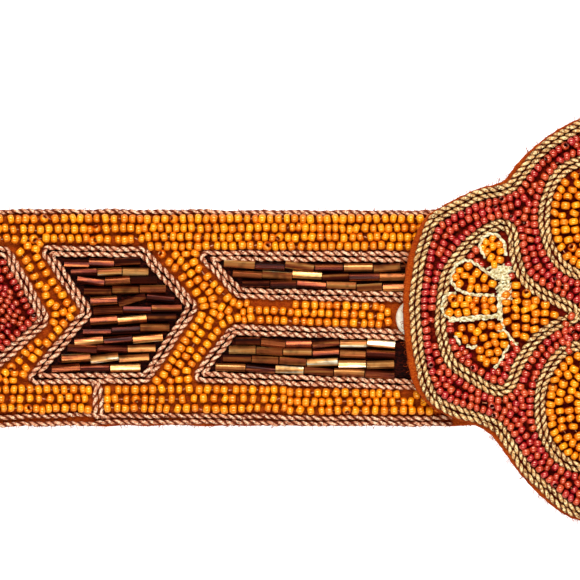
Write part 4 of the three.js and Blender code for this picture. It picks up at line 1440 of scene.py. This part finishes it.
# Twisted cords on the plaque: round its edge, its medallions and lobes, and the stem between the medallions
plaqueCord = {**bandCord, "pitch": 3.5, "steps": 9, "coil": 0.3, "lift": 0.68, "spacing": 0.95,
              "stemPast": 1.2}


def makePlaqueCords():
    dice = random.Random(47)
    plies = []
    rings = [plaqueCordLine, *medallionLines.values(), *lobeLines.values()]
    for ring in rings:
        for offset in (-0.5, 0.5):
            line = moved(ring, offset * belt["plaqueCordSpacing"] * plaqueCord["spacing"])
            plies += twistedCord(line, True, plaqueCord, placeOnPlaque, dice)
    tip = min(row[0] for row in medallionEdge) * belt["plaqueReach"]
    end = tip - plaquePairReach + plaqueCord["stemPast"]
    y = stem["level"] * belt["plaqueRise"]
    for offset in (-0.5, 0.5):
        across = y + offset * belt["plaqueCordSpacing"]
        line = [(-end, across), (0, across + 0.1), (end, across)]
        plies += twistedCord(line, False, plaqueCord, placeOnPlaque, dice)
    nodes = ["plaque_edge_cords", "stem_cords"]
    nodes += [f"medallion_{side}_cords" for side in medallionLines]
    nodes += [f"lobe_{name}_cords" for name in lobeLines]
    cordPiece("plaqueCords", plies, plaqueCord, goldYarn, nodes)


makePlaqueCords()
print("cords ready")

# Seed beads on the plaque
plaqueRed = {**redBeads, "clearance": 0.72}


def layPlaqueRed():
    region = [regionEdge(moved(plaqueCordLine, -plaquePairReach), True)]
    inner = [*medallionLines.values(), *lobeLines.values()]
    for line in inner:
        region.append(regionEdge(moved(line, plaquePairReach), False))
    tip = min(row[0] for row in medallionEdge) * belt["plaqueReach"]
    y = stem["level"] * belt["plaqueRise"]
    region.append(regionEdge(box(-tip, tip, y - plaquePairReach, y + plaquePairReach), False))
    field = BeadField(region, plaqueRed, 51)
    pitch = plaqueRed["rowPitch"]
    for k in range(3):
        field.addRow(moved(plaqueCordLine, -plaquePairReach - 0.8 - k * pitch))
        for line in inner:
            field.addRow(moved(line, plaquePairReach + 0.8 + k * pitch))
    field.fillRest(plaqueCordLine.min(axis=0), plaqueCordLine.max(axis=0))
    return field


plaqueRedField = layPlaqueRed()
beadPiece("plaqueRedBeads", plaqueRedField.beads, nearBead, placeOnPlaque, redGlass,
          ["plaque_red_beads"])

lobeLooks = {
    **orangeBeads,
    "sway": radians(18),
    "turned": 0.03,
    "squeeze": 0.82,
    "gap": 0.3,
    "fillFrom": 1.2,
    "rowPitch": 2.3,
    "lift": 0.3,
}


def layLobe(line, seed):
    field = BeadField([regionEdge(moved(line, -plaquePairReach), True)], lobeLooks, seed)
    for k in range(5):
        field.addRow(moved(line, -plaquePairReach - 0.95 - k * lobeLooks["rowPitch"]))
    field.fillRest(line.min(axis=0), line.max(axis=0))
    return field


lobeFields = [layLobe(line, 61 + k) for k, line in enumerate(lobeLines.values())]
lobeBeads = [bead for field in lobeFields for bead in field.beads]
beadPiece("lobeBeads", lobeBeads, nearBead, placeOnPlaque, orangeGlass,
          [f"lobe_{name}_beads" for name in lobeLines])

# The flower inside each medallion: orange petals and a leaf, the rest red. Points are for the left one.
petals = {
    "top": [(-38.6, 17.6), (-37.7, 19.3), (-36, 20.2), (-34.1, 19.8), (-32.9, 17.6), (-32.5, 14.8),
            (-33.6, 12.6), (-35.5, 12.1), (-36.8, 13.6), (-37.8, 15.4)],
    "upper": [(-45.1, 12.6), (-43, 13.8), (-40.8, 13.6), (-39.4, 12.1), (-37, 10.4), (-34.6, 9.5),
              (-34.6, 8.2), (-36, 6.6), (-39, 6.3), (-42, 6.6), (-44.4, 7.7), (-45.4, 9.8)],
    "middle": [(-47.3, 5.2), (-44.4, 5.9), (-40.8, 5.9), (-38.4, 5.5), (-35.3, 5.2), (-34.3, 3.8),
               (-34.3, 2), (-36.8, 0.9), (-40.8, 0.6), (-45.6, 0.2), (-47.4, 1.5), (-47.5, 3.7)],
    "lower": [(-44.4, -2.8), (-42.5, -1.3), (-40.8, -1.2), (-37.4, -0.6), (-34.3, -0.8), (-32.4, -2),
              (-31.9, -5.2), (-31.8, -6.6), (-33.6, -8.8), (-34.9, -11.2), (-36.5, -11.6), (-38.9, -10.4),
              (-39.6, -7.6), (-40.8, -6.1), (-43, -5.6), (-44.5, -4.2)],
    "leaf": [(-31.7, 8.5), (-29.8, 9), (-27.8, 7.6), (-25.9, 6.6), (-23.3, 4.9), (-21.1, 3.7), (-19.2, 1.8),
             (-21.1, -0.4), (-22.8, -1.6), (-24.7, -3.2), (-26.2, -4.7), (-28.8, -4.9), (-30.5, -4),
             (-31.9, -2), (-33.1, -0.4), (-33.6, 2.5), (-33.4, 5.4)],
}
flower = {"clearance": 0.55, "satin": 0.25, "satinCount": 130}
couching = {"pitch": 3.4, "steps": 9, "coil": 0.22, "ply": 0.25, "lift": 1.75, "wobble": 0.05}
petalLooks = {**lobeLooks, "clearance": flower["clearance"], "width": (2.2, 2.5), "turned": 0.02}


def mirroredLine(line, side):
    points = np.array(line, float) * (-side, 1)
    return anticlockwise(points)


def layFlower(side, sideName, seed):
    outline = moved(medallionLines[sideName], -plaquePairReach)
    orange, shapes = [], []
    for k, (name, points) in enumerate(petals.items()):
        line = smoothed(mirroredLine(points, side))
        shapes.append(line)
        field = BeadField([regionEdge(line, True), regionEdge(outline, True)], petalLooks, seed + k)
        if name == "leaf":
            for column in np.arange(-32.3, -19, 2.35):
                field.addRow([(-side * column, -6), (-side * column, 10)], closed=False)
        else:
            for ring in range(3):
                field.addRow(moved(line, -1.0 - ring * 2.25))
        field.fillRest(line.min(axis=0), line.max(axis=0), 0.3)
        orange += field.beads
    region = [regionEdge(outline, True)] + [regionEdge(moved(line, 0.45), False) for line in shapes]
    patch = goldPatch * (-side, 1)
    region.append(regionEdge(anticlockwise(patch), False))
    red = BeadField(region, {**redBeads, "clearance": 0.68}, seed + 9)
    red.addRow(moved(outline, -0.8))
    red.fillRest(outline.min(axis=0), outline.max(axis=0), 0.3)
    return orange, red.beads


goldPatch = np.array([(-37, 11.9), (-34.5, 12.6), (-31.9, 12.2), (-31.6, 8), (-33.4, 5.4), (-33.4, -1.5),
                      (-34.3, -0.6), (-34.4, 5.6), (-34.8, 9.4)])
flowers = [layFlower(-1, "left", 71), layFlower(1, "right", 81)]
beadPiece("medallionBeads", flowers[0][0] + flowers[1][0], nearBead, placeOnPlaque, orangeGlass,
          ["medallion_left_beads", "medallion_right_beads"])
beadPiece("medallionRedBeads", flowers[0][1] + flowers[1][1], nearBead, placeOnPlaque, redGlass)
print("plaque beads ready")

# Pale threads that show between the beads of a row
rowThreads = {"radius": 0.13, "shown": 0.55, "height": 0.95}


def makeRowThreads():
    dice = random.Random(91)
    tubes = []
    laid = [(field, placeOnBand) for field in [orangeField, *lozengeFields]]
    laid += [(field, placeOnPlaque) for field in [plaqueRedField, *lobeFields]]
    for field, place in laid:
        for first, second in field.threads:
            apart = hypot(second["x"] - first["x"], second["y"] - first["y"])
            free = apart - (first["length"] + second["length"]) / 2
            if free < 0.25 or dice.random() > rowThreads["shown"]:
                continue
            lift = rowThreads["height"] + dice.uniform(-0.25, 0.3)
            ends = []
            for bead, share in ((first, 0.33), (second, 0.67)):
                x = first["x"] + (second["x"] - first["x"]) * share
                y = first["y"] + (second["y"] - first["y"]) * share
                ends.append((x, y + dice.gauss(0, 0.14), lift + dice.uniform(-0.2, 0.2)))
            points = placePoints(place, np.array(ends))
            tubes.append({"points": points, "radius": rowThreads["radius"], "closed": False})
    mesh = tubesMesh("rowThreads", tubes, 4)
    weld(mesh)
    return newPiece("rowThreads", mesh, rowThread)


makeRowThreads()

# Gold couching round the petals and the satin stitches between them, on both medallions
goldLines = [
    [(-37.4, 14.5), (-38.7, 17.2), (-37.9, 19.3), (-36.2, 20.3), (-34.1, 19.8), (-32.7, 17.9), (-32.3, 15)],
    [(-34.2, 9.6), (-36.8, 10.9), (-39, 12.6), (-40.3, 13.7), (-42.5, 13.9), (-44.6, 12.7), (-45.3, 11),
     (-45.5, 8.8), (-44, 7.1), (-41.6, 6), (-38.4, 5.5), (-35.3, 5.4)],
    [(-44.4, 6.1), (-46.7, 5.8), (-47.4, 4), (-47.6, 1.9), (-46.4, 0.2), (-43.2, -0.3)],
    [(-46, -0.5), (-43, -0.2), (-40.8, 0.3), (-37.5, 0.6), (-34.4, 1)],
    [(-43.5, -0.6), (-40.8, -0.2), (-38.4, 0.1), (-34.4, 0.5)],
    [(-44.4, -4.2), (-43.9, -5.3), (-43.3, -6.3)],
    [(-41.6, -6.3), (-40.2, -7.2), (-39.3, -6.6)],
    [(-31.5, -6.4), (-32.6, -8.3), (-33.8, -10.4), (-35, -11.8)],
    [(-34.4, -2.8), (-32.5, -3), (-31, -5.3), (-29.6, -6.3)],
    [(-33.7, 6.8), (-33.7, 3), (-33.6, 0), (-33, -2.4)],
    [(-34.1, 6), (-34, 2.5), (-33.9, -0.3)],
    [(-33.4, 5.4), (-31.8, 8.3), (-31.6, 10)],
]


def makeGoldThreads():
    dice = random.Random(101)
    tubes = []
    for side in (-1, 1):
        for line in goldLines:
            points = spaced(np.array(line, float) * (-side, 1), 0.9, closed=False)
            points += np.array([[dice.gauss(0, 0.09), dice.gauss(0, 0.09)] for _ in points])
            tubes += twistedCord(points, False, couching, placeOnPlaque, dice)
        low, high = np.array([-37, 4.5]), np.array([-31.4, 12.6])
        for _ in range(flower["satinCount"]):
            x, y = dice.uniform(low[0], high[0]), dice.uniform(low[1], high[1])
            if y < 9.5 - (x + 34) * 0.9 and x < -34:
                continue
            angle = 0.6 + dice.gauss(0, 0.4)
            half = dice.uniform(0.7, 1.4)
            ends = [(x - half * cos(angle), y - half * sin(angle), dice.uniform(0.7, 1.5)),
                    (x, y, dice.uniform(1.4, 2.1)),
                    (x + half * cos(angle), y + half * sin(angle), dice.uniform(0.7, 1.5))]
            middles = np.array(ends) * (-side, 1, 1)
            places = placePoints(placeOnPlaque, middles)
            tubes.append({"points": places, "radius": flower["satin"], "closed": False})
    mesh = tubesMesh("goldThreads", tubes, 6)
    weld(mesh)
    return newPiece("goldThreads", mesh, goldThread)


makeGoldThreads()

# Loose fibres along the band's and the plaque's outer edges
fuzz = {"radius": 0.05, "bandCount": 900, "plaqueCount": 420, "length": (0.4, 1.3)}


def makeFuzz():
    dice = random.Random(111)
    plaqueRim = spaced(plaqueClothLine, 0.5)
    rimHeadings = headingsOf(plaqueRim)
    tubes = []
    for k in range(fuzz["bandCount"] + fuzz["plaqueCount"]):
        length = dice.uniform(*fuzz["length"])
        lean = dice.gauss(0, 0.7)
        if k < fuzz["bandCount"]:
            place, side = placeOnBand, dice.choice((-1, 1))
            root = np.array([dice.uniform(fieldStart + 30, fieldEnd), side * dice.uniform(25.4, 26)])
            heading = side * pi / 2 + lean
            height = dice.uniform(-1.2, 0.8)
        else:
            place, spot = placeOnPlaque, dice.randrange(len(plaqueRim))
            root = plaqueRim[spot]
            heading = rimHeadings[spot] - pi / 2 + lean
            height = dice.uniform(-1.8, -0.3)
        curl = dice.gauss(0, 0.6)
        steps = [0, 0.35, 0.7, 1]
        middles = [(root[0] + length * t * cos(heading + curl * t),
                    root[1] + length * t * sin(heading + curl * t),
                    height) for t in steps]
        points = placePoints(place, np.array(middles))
        tubes.append({"points": points, "radius": fuzz["radius"], "closed": False})
    mesh = tubesMesh("fuzz", tubes, 4)
    weld(mesh)
    return newPiece("fuzz", mesh, rustFelt)


makeFuzz()

# The snap under the plaque's left edge: a stem on the band and a round cap
snap = {"diameter": 9.5, "stem": 5, "cap": 1.9, "inset": 0.3, "steps": 48}


def makeSnap():
    stemRadius, capRadius = snap["stem"] / 2, snap["diameter"] / 2
    base = belt["seatGap"]
    top = belt["snapHeight"] - belt["seatGap"]
    bottom = top - snap["cap"]
    profile = [(0, base), (stemRadius, base), (stemRadius, bottom - 0.2), (capRadius - 0.5, bottom),
               (capRadius - 0.1, bottom + 0.25), (capRadius, bottom + 0.7), (capRadius - 0.05, top - 0.6),
               (capRadius - 0.3, top - 0.2), (capRadius - 0.8, top), (0, top)]
    bm = bmesh.new()
    verts = [bm.verts.new((radius, 0, height)) for radius, height in profile]
    edges = [bm.edges.new(pair) for pair in zip(verts, verts[1:])]
    bmesh.ops.spin(bm, geom=verts + edges, cent=(0, 0, 0), axis=(0, 0, 1), angle=2 * pi, steps=snap["steps"],
                   use_merge=True, use_duplicate=False)
    bmesh.ops.remove_doubles(bm, verts=bm.verts, dist=1e-4)
    bmesh.ops.recalc_face_normals(bm, faces=bm.faces)
    seat = (snap["inset"] - belt["plaqueReach"], 0, frontLevel + clothFace)
    bmesh.ops.translate(bm, vec=seat, verts=bm.verts)
    bmesh.ops.scale(bm, vec=(mm, mm, mm), verts=bm.verts)
    mesh = meshFrom(bm, "snap")
    return newPiece("snap", mesh, snapPlastic, ["fastening_snap"])


makeSnap()
print("small parts ready")

# Stage: a pale floor, two soft lamps over the long sides, and the camera straight above as in the photograph
stage = {
    "floor": 1500,
    "world": 0.14,
    "lampHeight": 1100,
    "lampAlong": -80,
    "lampTilt": radians(33),
    "lampSize": (1100, 380),
    "lampPower": {-1: 8.2, 1: 12.8},
    "cameraAt": (-84, 6.84, 1012),
    "lens": 258.6,
}


def makeStage():
    bm = bmesh.new()
    bmesh.ops.create_grid(bm, x_segments=1, y_segments=1, size=stage["floor"] * mm)
    mesh = meshFrom(bm, "floor")
    floor = bpy.data.objects.new("floor", mesh)
    bpy.context.scene.collection.objects.link(floor)
    material, tree, shader = newMaterial("paleFloor", {"Base Color": (0.9, 0.9, 0.9, 1), "Roughness": 0.9})
    shader["Emission Color"].default_value = (1, 1, 1, 1)
    shader["Emission Strength"].default_value = 0.6
    mesh.materials.append(material)
    for side in (-1, 1):
        lamp = bpy.data.lights.new(f"softLamp{side}", "AREA")
        lamp.shape = "RECTANGLE"
        lamp.size, lamp.size_y = (length * mm for length in stage["lampSize"])
        lamp.energy = stage["lampPower"][side]
        holder = bpy.data.objects.new(lamp.name, lamp)
        bpy.context.scene.collection.objects.link(holder)
        tilt = side * stage["lampTilt"]
        height = stage["lampHeight"]
        holder.location = np.array([stage["lampAlong"], sin(tilt) * height, cos(tilt) * height]) * mm
        holder.rotation_euler = (-tilt, 0, 0)
    world = bpy.data.worlds.new("room")
    world.use_nodes = True
    background = world.node_tree.nodes["Background"]
    background.inputs["Color"].default_value = (1, 1, 1, 1)
    background.inputs["Strength"].default_value = stage["world"]
    bpy.context.scene.world = world
    camera = bpy.data.cameras.new("camera")
    camera.sensor_width = 36
    camera.lens = stage["lens"]
    holder = bpy.data.objects.new("camera", camera)
    holder.location = [length * mm for length in stage["cameraAt"]]
    bpy.context.scene.collection.objects.link(holder)
    bpy.context.scene.camera = holder
    bpy.context.scene.view_settings.view_transform = "Standard"


makeStage()
print("stage ready")
